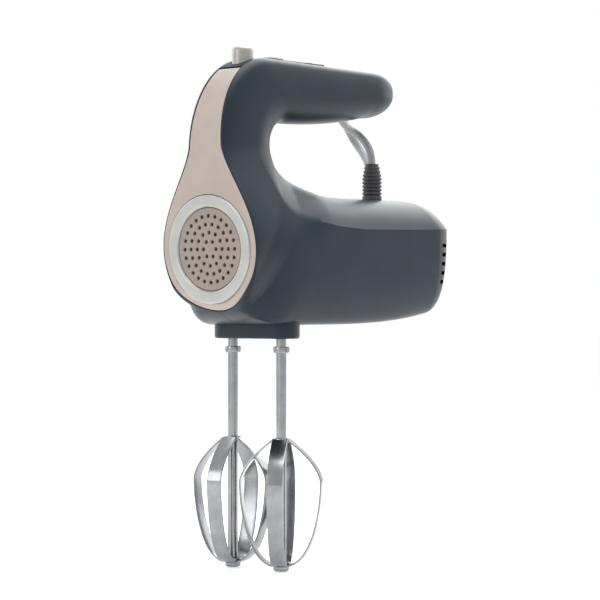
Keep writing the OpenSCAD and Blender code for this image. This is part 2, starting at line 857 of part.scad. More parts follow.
// A worm gear with straight teeth, pressed on its spindle
module worm_gear(side, turn) {
  root = gear_pitch_r - tooth_in;
  tip = gear_pitch_r + tooth_out;
  half_steps = [[root, -tooth_foot], [tip, -tooth_top], [tip, tooth_top], [root, tooth_foot]];
  translate([side * beater_gap / 2, 0, motor_z - gear_t / 2]) rotate(turn) difference() {
    linear_extrude(gear_t) polygon([for (k = [0 : gear_teeth - 1], p = half_steps)
      let (a = tooth_pitch * k + p[1] / p[0] * 180 / PI)
      p[0] * [cos(a), sin(a)]]);
    translate([0, 0, -past]) cylinder(r = spindle_d / 2 + press, h = gear_t + 2 * past);
  }
}

module left_gear() {
  color(white_plastic) place() worm_gear(1, 180);
}

module right_gear() {
  color(white_plastic) place() worm_gear(-1, tooth_pitch / 2);
}

// Hollow spindle with a flange that rests on the frame
module spindle(side) {
  low = 1;
  rim = 1.5;
  rim_t = 2;
  translate([side * beater_gap / 2, 0, 0]) difference() {
    union() {
      translate([0, 0, low]) cylinder(r = spindle_d / 2, h = motor_z + gear_t / 2 - low);
      translate([0, 0, frame_z + frame_t + seat]) cylinder(r = spindle_d / 2 + rim, h = rim_t);
    }
    cylinder(r = shaft_d / 2 + running, h = far);
  }
}

module left_spindle() {
  color(steel) place() spindle(1);
}

module right_spindle() {
  color(steel) place() spindle(-1);
}

// Beater: the left one is turned half a blade step from the right one, so that their blades pass
left_turn = 31;
right_turn = 45 - left_turn;
hub_r = 5;
eyelet_h = 3;
head_low = -bare_shaft - head_h;
collar_low = -9;

function curve3(a, b, c, s) = mix(mix(a, b, s), mix(b, c, s), s);
function curve4(a, b, c, d, s) = mix(curve3(a, b, c, s), curve3(b, c, d, s), s);

// Outer line of one blade strip, from the upper eyelet over the shoulder to the lower eyelet
shoulder_z = -bare_shaft - head_h / 3;
strip_line = concat(
  [for (s = [0 : 0.2 : 1])
    curve3([hub_r, -bare_shaft], [head_r - 2, -bare_shaft - head_h * 0.18], [head_r, shoulder_z], s)],
  [for (s = [0.125 : 0.125 : 1])
    curve4([head_r, shoulder_z], [head_r, shoulder_z - head_h * 0.22], [head_r * 0.8, head_low + 3],
      [hub_r, head_low], s)]);
strip_inner = [for (k = [0 : len(strip_line) - 1])
  let (way = strip_line[min(k + 1, len(strip_line) - 1)] - strip_line[max(k - 1, 0)])
  strip_line[k] + strip_t * [way[1], -way[0]] / norm(way)];

module at_beater(side) {
  translate([side * beater_gap / 2, 0, 0]) children();
}

module beater_shaft(side) {
  color(steel) place() at_beater(side) translate([0, 0, head_low])
    cylinder(r = shaft_d / 2, h = shaft_top - head_low);
}

// Collar with two ears that lock into the spindle's mouth
module beater_collar(side) {
  rim = 1.6;
  height = 4;
  ear_tip = shaft_d / 2 + 3;
  ear_half = 0.8;
  color(steel) place() at_beater(side) translate([0, 0, collar_low]) difference() {
    union() {
      cylinder(r = shaft_d / 2 + rim, h = height);
      box([-ear_tip, -ear_half, height / 4], [ear_tip, ear_half, height]);
    }
    translate([0, 0, -past]) cylinder(r = shaft_d / 2 + press, h = height + 2 * past);
  }
}

// Cage of four bent strips on an upper and a lower eyelet
module beater_blades(side, turn) {
  color(steel) place() at_beater(side) rotate(turn) difference() {
    union() {
      for (a = [0 : 90 : 270]) {
        rotate(a) rotate([90, 0, 0]) translate([0, 0, -strip_w / 2]) linear_extrude(strip_w)
          polygon(concat(strip_line, [for (k = [len(strip_inner) - 1 : -1 : 0]) strip_inner[k]]));
      }
      for (z = [-bare_shaft - eyelet_h + 0.5, head_low]) {
        translate([0, 0, z]) cylinder(r = hub_r + 0.6, h = eyelet_h);
      }
    }
    translate([0, 0, head_low - past]) cylinder(r = shaft_d / 2 + press, h = head_h + 2 * past);
  }
}

module beater_cap(side) {
  height = 3;
  edge = 1;
  color(steel) place() at_beater(side) translate([0, 0, head_low - height]) {
    translate([0, 0, edge]) cylinder(r = hub_r, h = height - edge);
    cylinder(r = hub_r - edge, h = edge);
  }
}

module left_beater_shaft() {
  beater_shaft(1);
}

module left_beater_collar() {
  beater_collar(1);
}

module left_beater_blades() {
  beater_blades(1, left_turn);
}

module left_beater_cap() {
  beater_cap(1);
}

module right_beater_shaft() {
  beater_shaft(-1);
}

module right_beater_collar() {
  beater_collar(-1);
}

module right_beater_blades() {
  beater_blades(-1, right_turn);
}

module right_beater_cap() {
  beater_cap(-1);
}

// Cord: rises from the deck, arches behind the handle and comes down to a tied coil beside the body
cord_r = cord_d / 2;
lead_sides = 10;
coil_x = -44;
coil_y = 110;
coil_z = 51;
coil_outer = 36;
coil_run = 5;
lead_points = [[0, relief_y, relief_top + 0.5], [-1.3, 115.8, 121.7], [-5.3, 115.2, 128.7],
  [-11.7, 114.7, 134.5],
  [-19.9, 115.5, 138.7], [-26, 115.8, 144.4], [-31.7, 118.9, 149.5], [-37.2, 123.9, 152.7],
  [-42, 130.3, 153.6], [-45.7, 137.3, 152.1], [-47.9, 144, 148.2], [-48.5, 149.7, 142.4],
  [-47.1, 153.8, 135.3], [-43.3, 156.4, 128.4], [-38.3, 156.7, 121.8], [-34.1, 155.7, 114.5],
  [-32.4, 154.6, 106.4], [-32.6, 155.3, 98], [-35, 155.7, 90], [-38.9, 153.8, 82.7],
  [-42.4, coil_y + coil_outer + 3.5, 76.4], [coil_x, coil_y + coil_outer + 0.6, 68.7],
  [coil_x, coil_y + coil_outer, coil_z + 2 * coil_run], [coil_x, coil_y + coil_outer, coil_z + coil_run]];
coil_room = 0.6;
coil_pitch = cord_d + coil_room;
plug_y = 94;
plug_half_x = 9;
plug_half_z = 7;
plug_l = 30;

// Sleeve that stands in the deck, with a flange below it
module strain_relief() {
  flange_r = relief_r + 2;
  sleeve_low = deck_z - wall - sleeve_flange_t;
  color(dark) place() translate([0, relief_y, 0]) {
    translate([0, 0, deck_z - wall - flange_gap]) cylinder(r = flange_r, h = sleeve_flange_t);
    translate([0, 0, sleeve_low]) cylinder(r = relief_r, h = relief_top - taper_l - sleeve_low);
    translate([0, 0, relief_top - taper_l]) cylinder(r1 = relief_r, r2 = cord_r + taper_end, h = taper_l);
  }
}

// Bar that clamps the cord below the sleeve, held beside the screw post
module cord_clamp() {
  half = relief_r + 1.5;
  color(dark) place() box([-half, relief_y - relief_r, deck_z - wall - flange_gap - clamp_t],
    [half, relief_y + relief_r, deck_z - wall - flange_gap]);
}

module cord_lead() {
  color("#77797c") place() skin(tube_rings(lead_points, cord_r, lead_sides, [0.77, 0.64, 0]));
}

// Coil: the loops spiral in on the layer beside the body, climb a layer and spiral out again
coil_inner = coil_outer - coil_pitch * coil_loops / 2;
function climb(turn) =
  let (s = min(max((turn - coil_loops / 2) * 2 + 0.5, 0), 1))
  s * s * (3 - 2 * s);
function coil_point(turn) =
  let (r = coil_inner + coil_pitch * abs(turn - coil_loops / 2), a = -360 * turn)
  [coil_x - coil_pitch * climb(turn), coil_y + r * cos(a), coil_z + r * sin(a)];
coil_end = coil_point(coil_loops);
coil_path = concat(
  [[coil_x, coil_y + coil_outer, coil_z + coil_run]],
  [for (k = [0 : 24 * coil_loops]) coil_point(k / 24)],
  [coil_end - [0, coil_run, 0], [coil_end[0], plug_y, coil_end[2]]]);

// Least gap of the coil to itself, between rings that lie more than half a loop apart
coil_gap = min([for (i = [0 : len(coil_path) - 13], k = [i + 12 : len(coil_path) - 1])
  norm(coil_path[i] - coil_path[k])]) - cord_d;
echo(coil_gap = coil_gap);

module cord_coil() {
  color("#77797c") place() skin(tube_rings(coil_path, cord_r, 6, [1, 0, 0]));
}

// Band round all the turns at the front of the coil
module coil_tie() {
  band = 0.8;
  half = 3;
  low = [coil_x - coil_pitch - cord_r - apart, coil_y - coil_outer - cord_r];
  high = [coil_x + cord_r + apart, coil_y - coil_inner + cord_r + coil_pitch / 2];
  color(dark) place() difference() {
    box([low[0] - band, low[1] - band, coil_z - half], [high[0] + band, high[1] + band, coil_z + half]);
    box([low[0], low[1], coil_z - half - past], [high[0], high[1], coil_z + half + past]);
  }
}

module plug_body() {
  color(dark) place() translate([coil_end[0], plug_y, coil_end[2]]) rotate([90, 0, 0]) {
    translate([0, 0, plug_l / 3])
      linear_extrude(plug_l * 2 / 3) obround(plug_half_z, plug_half_x - plug_half_z);
    linear_extrude(plug_l / 3) obround(plug_half_z - 2, plug_half_x - plug_half_z);
  }
}

module plug_pins() {
  pin_half = 6.35;
  pin = [1.5, 18, 6.3];
  color("#c8b27a") place() for (side = [-1, 1]) {
    translate([coil_end[0] + side * pin_half, plug_y - plug_l - pin[1] / 2, coil_end[2]])
      cube(pin, center = true);
  }
}

module housing_screws() {
  color(steel) place() for (p = screw_spots) {
    translate([-screw_seat, p[0], p[1]]) along_x(screw_r, screw_seat + screw_grip);
    translate([-screw_seat - screw_head_t, p[0], p[1]]) along_x(screw_head_r, screw_head_t);
  }
}

left_shell();
right_shell();
rear_cover();
heel_pad();
front_fascia();
grille_ring();
front_grille();
nose_collar();
control_bezel();
eject_button();
eject_rod();
eject_fork();
eject_spring();
speed_slider();
speed_switch();
turbo_button();
turbo_switch();
turbo_spring();
control_board();
gear_frame();
front_bearing();
rear_bearing();
rear_bracket();
brush_holders();
carbon_brushes();
motor_screws();
field_core();
field_coils();
motor_shaft();
armature_core();
armature_windings();
commutator();
worm();
cooling_fan();
left_gear();
right_gear();
left_spindle();
right_spindle();
left_beater_shaft();
left_beater_collar();
left_beater_blades();
left_beater_cap();
right_beater_shaft();
right_beater_collar();
right_beater_blades();
right_beater_cap();
strain_relief();
cord_clamp();
cord_lead();
cord_coil();
coil_tie();
plug_body();
plug_pins();
housing_screws();
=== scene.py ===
"""Electric hand mixer with two beaters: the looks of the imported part, piece by piece."""
import json
import bmesh
import bpy
import numpy as np
from mathutils import Matrix, Vector


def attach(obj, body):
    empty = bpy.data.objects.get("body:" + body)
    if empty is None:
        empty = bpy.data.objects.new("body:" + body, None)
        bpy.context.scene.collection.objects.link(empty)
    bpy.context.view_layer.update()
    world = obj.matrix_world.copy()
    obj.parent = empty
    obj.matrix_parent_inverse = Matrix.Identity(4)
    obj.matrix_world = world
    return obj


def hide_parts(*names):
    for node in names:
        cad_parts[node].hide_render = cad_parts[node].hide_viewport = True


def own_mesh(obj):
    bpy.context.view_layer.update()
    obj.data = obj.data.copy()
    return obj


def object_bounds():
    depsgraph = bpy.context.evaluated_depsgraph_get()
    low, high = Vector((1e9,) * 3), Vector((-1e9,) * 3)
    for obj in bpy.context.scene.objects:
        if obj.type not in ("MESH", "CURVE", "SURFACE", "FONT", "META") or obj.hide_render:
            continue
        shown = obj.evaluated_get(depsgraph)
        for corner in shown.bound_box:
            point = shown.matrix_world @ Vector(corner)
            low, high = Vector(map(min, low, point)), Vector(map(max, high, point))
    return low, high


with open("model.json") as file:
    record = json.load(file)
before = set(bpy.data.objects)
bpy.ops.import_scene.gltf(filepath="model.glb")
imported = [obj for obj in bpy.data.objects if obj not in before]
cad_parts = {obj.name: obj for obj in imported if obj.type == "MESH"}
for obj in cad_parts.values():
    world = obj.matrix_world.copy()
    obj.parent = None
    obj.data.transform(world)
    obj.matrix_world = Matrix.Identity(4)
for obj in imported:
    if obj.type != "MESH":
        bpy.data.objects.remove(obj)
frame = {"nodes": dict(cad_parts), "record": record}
cad_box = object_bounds()
scene = bpy.context.scene
scene.view_settings.view_transform = "Standard"

# Sizes in millimetres, from the part's source; zero lies midway between the beaters at the nose
BODY_REAR, BODY_HALF, BODY_BOTTOM, DECK_Z, FRONT, FRONT_LEAN = 157.5, 40.0, 8.5, 90.0, 44.5, np.radians(3.4)
WALL, REAR_SPLIT = 2.5, 137.5
HANDLE_TOP, HANDLE_UNDER, HANDLE_HALF, HANDLE_REACH, POST_REAR = 174.5, 135.5, 16.5, 127.0, 5.5
PANEL_T, ROUND_R, ROUND_Z, NECK_HALF, RING_R, GRILLE_R = 2.5, 38.0, 55.0, 13.0, 33.5, 25.4
BEATER_X, SHAFT_R, BARE_SHAFT, HEAD_H, HEAD_R, STRIP_W, STRIP_T = 20.0, 3.15, 62.0, 79.0, 26.0, 10.0, 1.2
HEEL_RISE, FLOOR_FROM, BODY_FLAT, BODY_LEVEL, CROWN = 11.0, 25.0, 26.0, 0.48, 2.6
REAR_ROUND, REAR_DROP, REAR_RISE, REAR_NARROW = 22.0, 9.0, 17.0, 16.0
CHIN_Y, CHIN_Z, BROW_Y, BROW_Z, FLARE_H = 10.0, 34.0, 3.0, 118.0, 63.0
FILLET_Y, FILLET_Z, UPPER_FILLET, HANDLE_FLAT = 62.0, 29.12, 15.015, 7.0
TIP_ROUND, TIP_DROP, TIP_RISE, TIP_NARROW, UNDER_RISE, TOP_FALL = 24.0, 8.85, 11.8, 10.0, 8.0, 1.5
DECK_FROM = POST_REAR + FILLET_Y
RELIEF_Y, RELIEF_TOP, RELIEF_WELL_R = 116.0, 114.0, 6.7
CORD_D = 5.2
EJECT_Y, BEZEL_Y, SLIDER_Y, SLOT_Y, TURBO_Y = -13.5, 30.0, 14.0, 21.0, 47.0
NOSE_HALF, BUTTON_HALF, BEZEL_HALF, SLOT_HALF = (31.5, 11.5), (6.0, 7.0), (7.4, 28.0), (2.3, 9.3)
GRIP_CENTRE = (0.0, 65.0, 155.0)


def place(points):
    """Working millimetres to the frame's metres, whose zero is the centre of the grip."""
    return (np.asarray(points, float) - GRIP_CENTRE) / 1000.0


def mix(a, b, s):
    """Straight blend from a to b."""
    return a + (b - a) * s


def smooth(s):
    """A share that starts and ends level: three times its square less twice its cube."""
    return s * s * (3 - 2 * s)


# Camera: level with the lower body, 40 degrees round towards the mixer's left, about 1.5 m away
CAMERA_AT, CAMERA_WAY = (985.0, -1131.5, 24.0), (-0.643, 0.766, 0.0)
camera = bpy.data.objects.new("camera", bpy.data.cameras.new("camera"))
scene.collection.objects.link(camera)
scene.camera = camera
camera.data.lens, camera.data.sensor_width = 144.0, 36.0
camera.location = place(CAMERA_AT)
camera.rotation_mode = "QUATERNION"
camera.rotation_quaternion = Vector(CAMERA_WAY).to_track_quat("-Z", "Y")
camera.data.clip_end = 20.0


def linear(code):
    """An sRGB hex colour as the linear colour that a shader takes."""
    c = np.array([int(code[i:i + 2], 16) for i in (1, 3, 5)]) / 255.0
    c = np.where(c <= 0.04045, c / 12.92, ((c + 0.055) / 1.055) ** 2.4)
    return (*c.tolist(), 1.0)


def node(tree, kind, values=None, links=None, **settings):
    """Adds one node with its settings, its constant inputs and its linked inputs."""
    made = tree.nodes.new(kind)
    for key, value in settings.items():
        setattr(made, key, value)
    for key, value in (values or {}).items():
        made.inputs[key].default_value = value
    for key, socket in (links or {}).items():
        tree.links.new(socket, made.inputs[key])
    return made


def surface(name, light, dark, mottle_mm, rough, grain_mm, grain_height_mm, stretch=(1, 1, 1), **constants):
    """A finish: two close colours mottled at one size, roughness between two values, and a grain in relief.

    Sizes are in millimetres; a noise of scale s has features about 1/s metres long. The stretch draws the
    grain out along an axis, as brushing and laminations do."""
    made = bpy.data.materials.new(name)
    made.use_nodes = True
    tree = made.node_tree
    tree.nodes.clear()
    where = node(tree, "ShaderNodeTexCoord").outputs["Object"]
    drawn = node(tree, "ShaderNodeMapping", {"Scale": stretch}, {"Vector": where}).outputs["Vector"]
    mottle = node(tree, "ShaderNodeTexNoise", {"Scale": 1000.0 / mottle_mm, "Detail": 3.0},
                  {"Vector": where})
    grain = node(tree, "ShaderNodeTexNoise", {"Scale": 1000.0 / grain_mm, "Detail": 2.0},
                 {"Vector": drawn})
    ramp = node(tree, "ShaderNodeValToRGB", None, {"Fac": mottle.outputs["Fac"]})
    ramp.color_ramp.elements[0].position, ramp.color_ramp.elements[1].position = 0.3, 0.7
    ramp.color_ramp.elements[0].color, ramp.color_ramp.elements[1].color = linear(light), linear(dark)
    sheen = node(tree, "ShaderNodeMapRange", {"To Min": rough[0], "To Max": rough[1]},
                 {"Value": grain.outputs["Fac"]})
    relief = node(tree, "ShaderNodeBump", {"Strength": 1.0, "Distance": grain_height_mm / 1000.0},
                  {"Height": grain.outputs["Fac"]})
    body = node(tree, "ShaderNodeBsdfPrincipled", constants,
                {"Base Color": ramp.outputs["Color"], "Roughness": sheen.outputs["Result"],
                 "Normal": relief.outputs["Normal"]})
    node(tree, "ShaderNodeOutputMaterial", None, {"Surface": body.outputs["BSDF"]})
    return made


# Finishes

# Moulded ABS with a fine spark-eroded texture: a soft, even sheen and no sharp reflections
slate_abs = surface("satin_moulded_abs_slate", "#1d2a34", "#18232c", 30.0, (0.34, 0.44), 0.7, 0.012,
                    **{"IOR": 1.54, "Specular IOR Level": 0.2})
# The same ABS under a satin champagne lacquer with a little metal flake
champagne_lacquer = surface("satin_lacquer_champagne", "#afa399", "#a69a91", 18.0, (0.30, 0.38), 0.9, 0.006,
                            **{"IOR": 1.5, "Metallic": 0.12})
# Moulded grille, matt greige
greige_abs = surface("matt_moulded_abs_greige", "#93877e", "#897d75", 14.0, (0.42, 0.52), 0.8, 0.012,
                     **{"IOR": 1.54})
# Ring: silver lacquer over plastic, clearer sheen
silver_lacquer = surface("silver_lacquer_on_abs", "#b4b2af", "#aaa8a5", 16.0, (0.28, 0.36), 0.6, 0.004,
                         **{"IOR": 1.5, "Metallic": 0.35})
# Slider and push buttons: the same lacquer with less flake, a shade darker. The darker colour is painted
# shade that holds down the overhead light on their upward-facing tops
shaded_button_lacquer = surface("silver_lacquer_painted_darker_on_buttons", "#9f9d9a", "#959390", 9.0, (0.30, 0.40), 0.6, 0.004,
                         **{"IOR": 1.5, "Metallic": 0.25})
# Polished stainless steel: bright, with faint lines along the polishing direction
polished_steel = surface("polished_stainless_steel", "#919396", "#828487", 9.0, (0.16, 0.28), 0.8, 0.004,
                         stretch=(1, 1, 0.08), **{"Metallic": 1.0})
# Moulded PVC of the strain relief and the plug: dull, slightly purple black
dark_pvc = surface("moulded_pvc_dark", "#37343a", "#2e2b31", 10.0, (0.5, 0.62), 0.6, 0.02, **{"IOR": 1.53})
# Extruded PVC sheath of the cord: smooth, low sheen
cord_pvc = surface("extruded_pvc_cord_grey", "#9a9c9f", "#8d8f92", 12.0, (0.40, 0.50), 0.8, 0.008,
                   **{"IOR": 1.53})
# Soft rubber of the heel pad and the tie: dull black that shows hardly any reflection
heel_rubber = surface("moulded_rubber_black", "#2a2a2b", "#232324", 8.0, (0.62, 0.75), 0.5, 0.03,
                      **{"IOR": 1.52})
# Brass of the plug's pins and the bearings: warm and bright, with fine lines along them
pin_brass = surface("blanked_brass", "#c9ae6e", "#bda163", 5.0, (0.22, 0.34), 0.4, 0.004,
                    stretch=(1, 0.1, 1), **{"Metallic": 1.0})
# Moulded nylon of the gears, the fan and the ejector: white, waxy
nylon = surface("moulded_nylon_white", "#d9d8d0", "#cfcdc4", 12.0, (0.45, 0.55), 0.6, 0.01, **{"IOR": 1.53})
# Glass-filled resin of the board: green, with a weak sheen
resin_board = surface("glass_resin_board_green", "#3f6b4a", "#37603f", 6.0, (0.35, 0.5), 0.5, 0.01,
                      **{"IOR": 1.55})
# Die-cast alloy of frame and bracket: pale grey metal, slightly rough
cast_alloy = surface("die_cast_zinc_alloy", "#b2b4b6", "#a5a8aa", 7.0, (0.4, 0.55), 0.5, 0.03,
                     **{"Metallic": 1.0})
# Stacked iron sheets of the motor's cores: dark metal with the sheets' edges as fine lines
laminated_iron = surface("laminated_core_iron", "#77797c", "#66696c", 5.0, (0.4, 0.6), 0.6, 0.05,
                         stretch=(0.02, 1, 0.02), **{"Metallic": 0.9})
# Enamelled copper wire of the windings: reddish, with the wires as ridges
enamel_copper = surface("enamelled_copper_wire", "#b06b35", "#96562a", 3.0, (0.25, 0.4), 0.5, 0.15,
                        stretch=(1, 0.05, 1), **{"Metallic": 0.8})
# Pressed carbon of the brushes: black, matt
brush_carbon = surface("pressed_carbon", "#2b2b2c", "#222223", 3.0, (0.55, 0.7), 0.4, 0.02, **{"IOR": 1.8})
# Zinc-plated steel of screws, springs, motor shaft, worm and spindles: pale and bright
plated_steel = surface("zinc_plated_steel", "#bfc1c0", "#b0b3b3", 5.0, (0.25, 0.38), 0.5, 0.006,
                       **{"Metallic": 1.0})
# Dark moulded ABS round the controls: matt, nearly black
dark_abs = surface("moulded_abs_dark", "#303136", "#29292e", 10.0, (0.45, 0.55), 0.7, 0.015,
                   **{"IOR": 1.54})

finish_of_slot = {
    "slate_plastic": slate_abs, "champagne_plastic": champagne_lacquer, "grille_plastic": greige_abs,
    "silver_plastic": silver_lacquer, "chrome_steel": polished_steel, "rubber_dark": heel_rubber,
    "cord_grey": cord_pvc, "dark_plastic": dark_abs, "plug_brass": pin_brass, "white_plastic": nylon,
    "board": resin_board, "frame_metal": cast_alloy, "core_steel": laminated_iron, "copper": enamel_copper,
    "carbon": brush_carbon, "steel": plated_steel}
slot_of_node = {part["node"]: part["material_slot"] for part in frame["record"]["subparts"]}


# Surfaces

AXIS_ORDER = {"z": [0, 1, 2], "y": [0, 2, 1], "x": [2, 0, 1]}


def skin(grid, ring=True, ends=True):
    """Rows of points of equal count joined into quads; ring joins each row's last point to its first, and
    ends closes the first and the last row with one face each."""
    grid = np.asarray(grid, float)
    rows, columns = grid.shape[:2]
    r, c = np.meshgrid(np.arange(rows - 1), np.arange(columns if ring else columns - 1), indexing="ij")
    d = (c + 1) % columns
    quads = np.stack([r * columns + c, r * columns + d, (r + 1) * columns + d, (r + 1) * columns + c], -1)
    faces = quads.reshape(-1, 4).tolist()
    if ends:
        faces += [list(range(columns)), list(range((rows - 1) * columns, rows * columns))]
    return grid.reshape(-1, 3), faces


def together(*parts):
    """Several skins as one."""
    starts = np.cumsum([0] + [len(points) for points, _ in parts])
    faces = [[i + int(start) for i in face] for (_, part), start in zip(parts, starts) for face in part]
    return np.concatenate([points for points, _ in parts]), faces


def rounded(corners, radius, steps=6, closed=True):
    """A polygon with its corners replaced by curves, each a parabola from radius before the corner to
    radius after it; an open line keeps its two ends."""
    p = np.asarray(corners, float)
    radius = np.broadcast_to(np.asarray(radius, float), len(p))[:, None]
    ends = []
    for other in (np.roll(p, 1, 0), np.roll(p, -1, 0)):
        way = other - p
        length = np.linalg.norm(way, axis=1, keepdims=True)
        ends.append(p + way / length * np.minimum(radius, 0.48 * length))
    s = np.linspace(0, 1, steps)[None, :, None]
    curve = (1 - s) ** 2 * ends[0][:, None] + 2 * s * (1 - s) * p[:, None] + s ** 2 * ends[1][:, None]
    if not closed:
        curve[0], curve[-1] = p[0], p[-1]
    return curve.reshape(-1, p.shape[1])


def turned(profile, centre, along="z", steps=72, closed=False):
    """A profile of (radius, height) pairs carried round an axis: x = r cos a, y = r sin a. A closed profile
    is a ring, and an open one starts and ends on the axis or is closed with flat faces."""
    r, h = np.asarray(profile, float).T
    a = np.linspace(0, 2 * np.pi, steps, endpoint=False)
    grid = np.stack([np.outer(r, np.cos(a)), np.outer(r, np.sin(a)), np.repeat(h[:, None], steps, 1)], -1)
    grid = grid[..., AXIS_ORDER[along]] + np.asarray(centre, float)
    return skin(np.concatenate([grid, grid[:1]]) if closed else grid, ends=not closed)


def prism(half, corner, profile, centre, along="z", steps=10):
    """A rounded rectangle carried along a profile of (growth, height) pairs: its half sizes and its corner
    radius grow together."""
    grow, h = np.asarray(profile, float).T
    turn = np.concatenate([np.linspace(k, k + 1, steps) for k in range(4)]) * np.pi / 2
    sx, sy = np.repeat([1, -1, -1, 1], steps), np.repeat([1, 1, -1, -1], steps)
    r = np.maximum(corner + grow, 0.02)[:, None]
    grid = np.stack([sx * (half[0] - corner) + r * np.cos(turn), sy * (half[1] - corner) + r * np.sin(turn),
                     np.repeat(h[:, None], 4 * steps, 1)], -1)
    return skin(grid[..., AXIS_ORDER[along]] + np.asarray(centre, float))


def smooth_line(points, steps):
    """A curve through all the points: between two of them a cubic whose slopes follow their neighbours."""
    p = np.asarray(points, float)
    p = np.concatenate([2 * p[:1] - p[1:2], p, 2 * p[-1:] - p[-2:-1]])
    s = np.linspace(0, 1, steps, endpoint=False)[None, :, None]
    a, b, c, d = (p[i:len(p) - 3 + i, None] for i in range(4))
    curve = 0.5 * (2 * b + (c - a) * s + (2 * a - 5 * b + 4 * c - d) * s ** 2
                   + (3 * b - a - 3 * c + d) * s ** 3)
    return np.concatenate([curve.reshape(-1, p.shape[1]), p[-2:-1]])


def tube(path, radius, sides=20):
    """A circle carried along a path; its side vector is carried on from point to point with as little twist
    as the path allows."""
    way = np.gradient(path, axis=0)
    way /= np.linalg.norm(way, axis=1, keepdims=True)
    side = np.cross(way[0], (0.3, 0.5, 0.8))
    across = np.empty_like(path)
    for k, ahead in enumerate(way):
        side = side - ahead * side.dot(ahead)
        side /= np.linalg.norm(side)
        across[k] = side
    other = np.cross(way, across)
    a = np.linspace(0, 2 * np.pi, sides, endpoint=False)[None, :, None]
    return skin(path[:, None] + radius * (across[:, None] * np.cos(a) + other[:, None] * np.sin(a)))


def solid_mesh(name, shape):
    """A mesh from points in working millimetres and faces: doubles merged, faces without area dropped, and
    the rest turned outwards."""
    points, faces = shape
    mesh = bpy.data.meshes.new(name)
    mesh.from_pydata(place(points).tolist(), [], faces)
    work = bmesh.new()
    work.from_mesh(mesh)
    bmesh.ops.remove_doubles(work, verts=work.verts, dist=2e-6)
    bmesh.ops.dissolve_degenerate(work, edges=work.edges, dist=1e-6)
    bmesh.ops.recalc_face_normals(work, faces=work.faces)
    work.to_mesh(mesh)
    work.free()
    return mesh


def soften(mesh, sharp):
    """Smooth shading, with edges sharper than the angle kept crisp."""
    mesh.shade_smooth()
    mesh.set_sharp_from_angle(angle=np.radians(sharp))


def piece(name, shape, finish, body="housing", replaces=(), sharp=35.0):
    """One piece with its finish, on its body, in place of the CAD nodes that it replaces."""
    mesh = solid_mesh(name, shape)
    made = bpy.data.objects.new(name, mesh)
    scene.collection.objects.link(made)
    mesh.materials.append(finish)
    soften(mesh, sharp)
    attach(made, body)
    if replaces:
        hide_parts(*replaces)
    return made


def cut(made, cutters, sharp=35.0):
    """Takes closed skins, in working millimetres, out of a piece, and keeps the result as its mesh."""
    knife_mesh = solid_mesh("knife", together(*cutters))
    knife = bpy.data.objects.new("knife", knife_mesh)
    scene.collection.objects.link(knife)
    step = made.modifiers.new("cut", "BOOLEAN")
    step.operation, step.solver, step.object = "DIFFERENCE", "EXACT", knife
    step.use_self = True
    result = bpy.data.meshes.new_from_object(made.evaluated_get(bpy.context.evaluated_depsgraph_get()))
    made.modifiers.clear()
    old, made.data = made.data, result
    bpy.data.objects.remove(knife)
    bpy.data.meshes.remove(knife_mesh)
    bpy.data.meshes.remove(old)
    soften(result, sharp)


# Cord: up from the deck, over behind the handle, down to a tied coil on the far side of the body

COIL_X, COIL_Y, COIL_Z, COIL_OUTER, COIL_LOOPS, COIL_RUN = -44.0, 110.0, 51.0, 36.0, 5.25, 5.0
PLUG_Y, PIN_APART = 94.0, 12.7
COIL_PITCH = CORD_D + 0.6
COIL_INNER = COIL_OUTER - COIL_PITCH * COIL_LOOPS / 2
lead = smooth_line([
    (0, RELIEF_Y, RELIEF_TOP - 1), (-1.3, 115.8, 121.7), (-5.3, 115.2, 128.7), (-11.7, 114.7, 134.5),
    (-19.9, 115.5, 138.7), (-26, 115.8, 144.4), (-31.7, 118.9, 149.5), (-37.2, 123.9, 152.7),
    (-42, 130.3, 153.6), (-45.7, 137.3, 152.1), (-47.9, 144, 148.2), (-48.5, 149.7, 142.4),
    (-47.1, 153.8, 135.3), (-43.3, 156.4, 128.4), (-38.3, 156.7, 121.8), (-34.1, 155.7, 114.5),
    (-32.4, 154.6, 106.4), (-32.6, 155.3, 98), (-35, 155.7, 90), (-38.9, 153.8, 82.7),
    (-42.4, COIL_Y + COIL_OUTER + 3.5, 76.4), (COIL_X, COIL_Y + COIL_OUTER + 0.6, 68.7),
    (COIL_X, COIL_Y + COIL_OUTER, COIL_Z + 2 * COIL_RUN),
    (COIL_X, COIL_Y + COIL_OUTER, COIL_Z + COIL_RUN)], 4)


def coil_line(turn):
    """The coil: a spiral in on the layer beside the body, a climb of one layer over half a loop at the
    middle, and a spiral out again; the radius is the inner one plus a pitch for each loop from the middle."""
    r = COIL_INNER + COIL_PITCH * np.abs(turn - COIL_LOOPS / 2)
    climb = smooth(np.clip((turn - COIL_LOOPS / 2) * 2 + 0.5, 0, 1))
    a = -2 * np.pi * turn
    return np.stack([COIL_X - COIL_PITCH * climb, COIL_Y + r * np.cos(a), COIL_Z + r * np.sin(a)], -1)


coil = coil_line(np.linspace(0, COIL_LOOPS, int(48 * COIL_LOOPS) + 1))
coil_end = coil[-1]
cord_path = np.concatenate([lead, coil, [coil_end - (0, COIL_RUN, 0), (coil_end[0], PLUG_Y, coil_end[2])]])
cord = piece("power_cord", tube(cord_path, CORD_D / 2, 14), cord_pvc, replaces=("cord_lead", "cord_coil"),
             sharp=60.0)

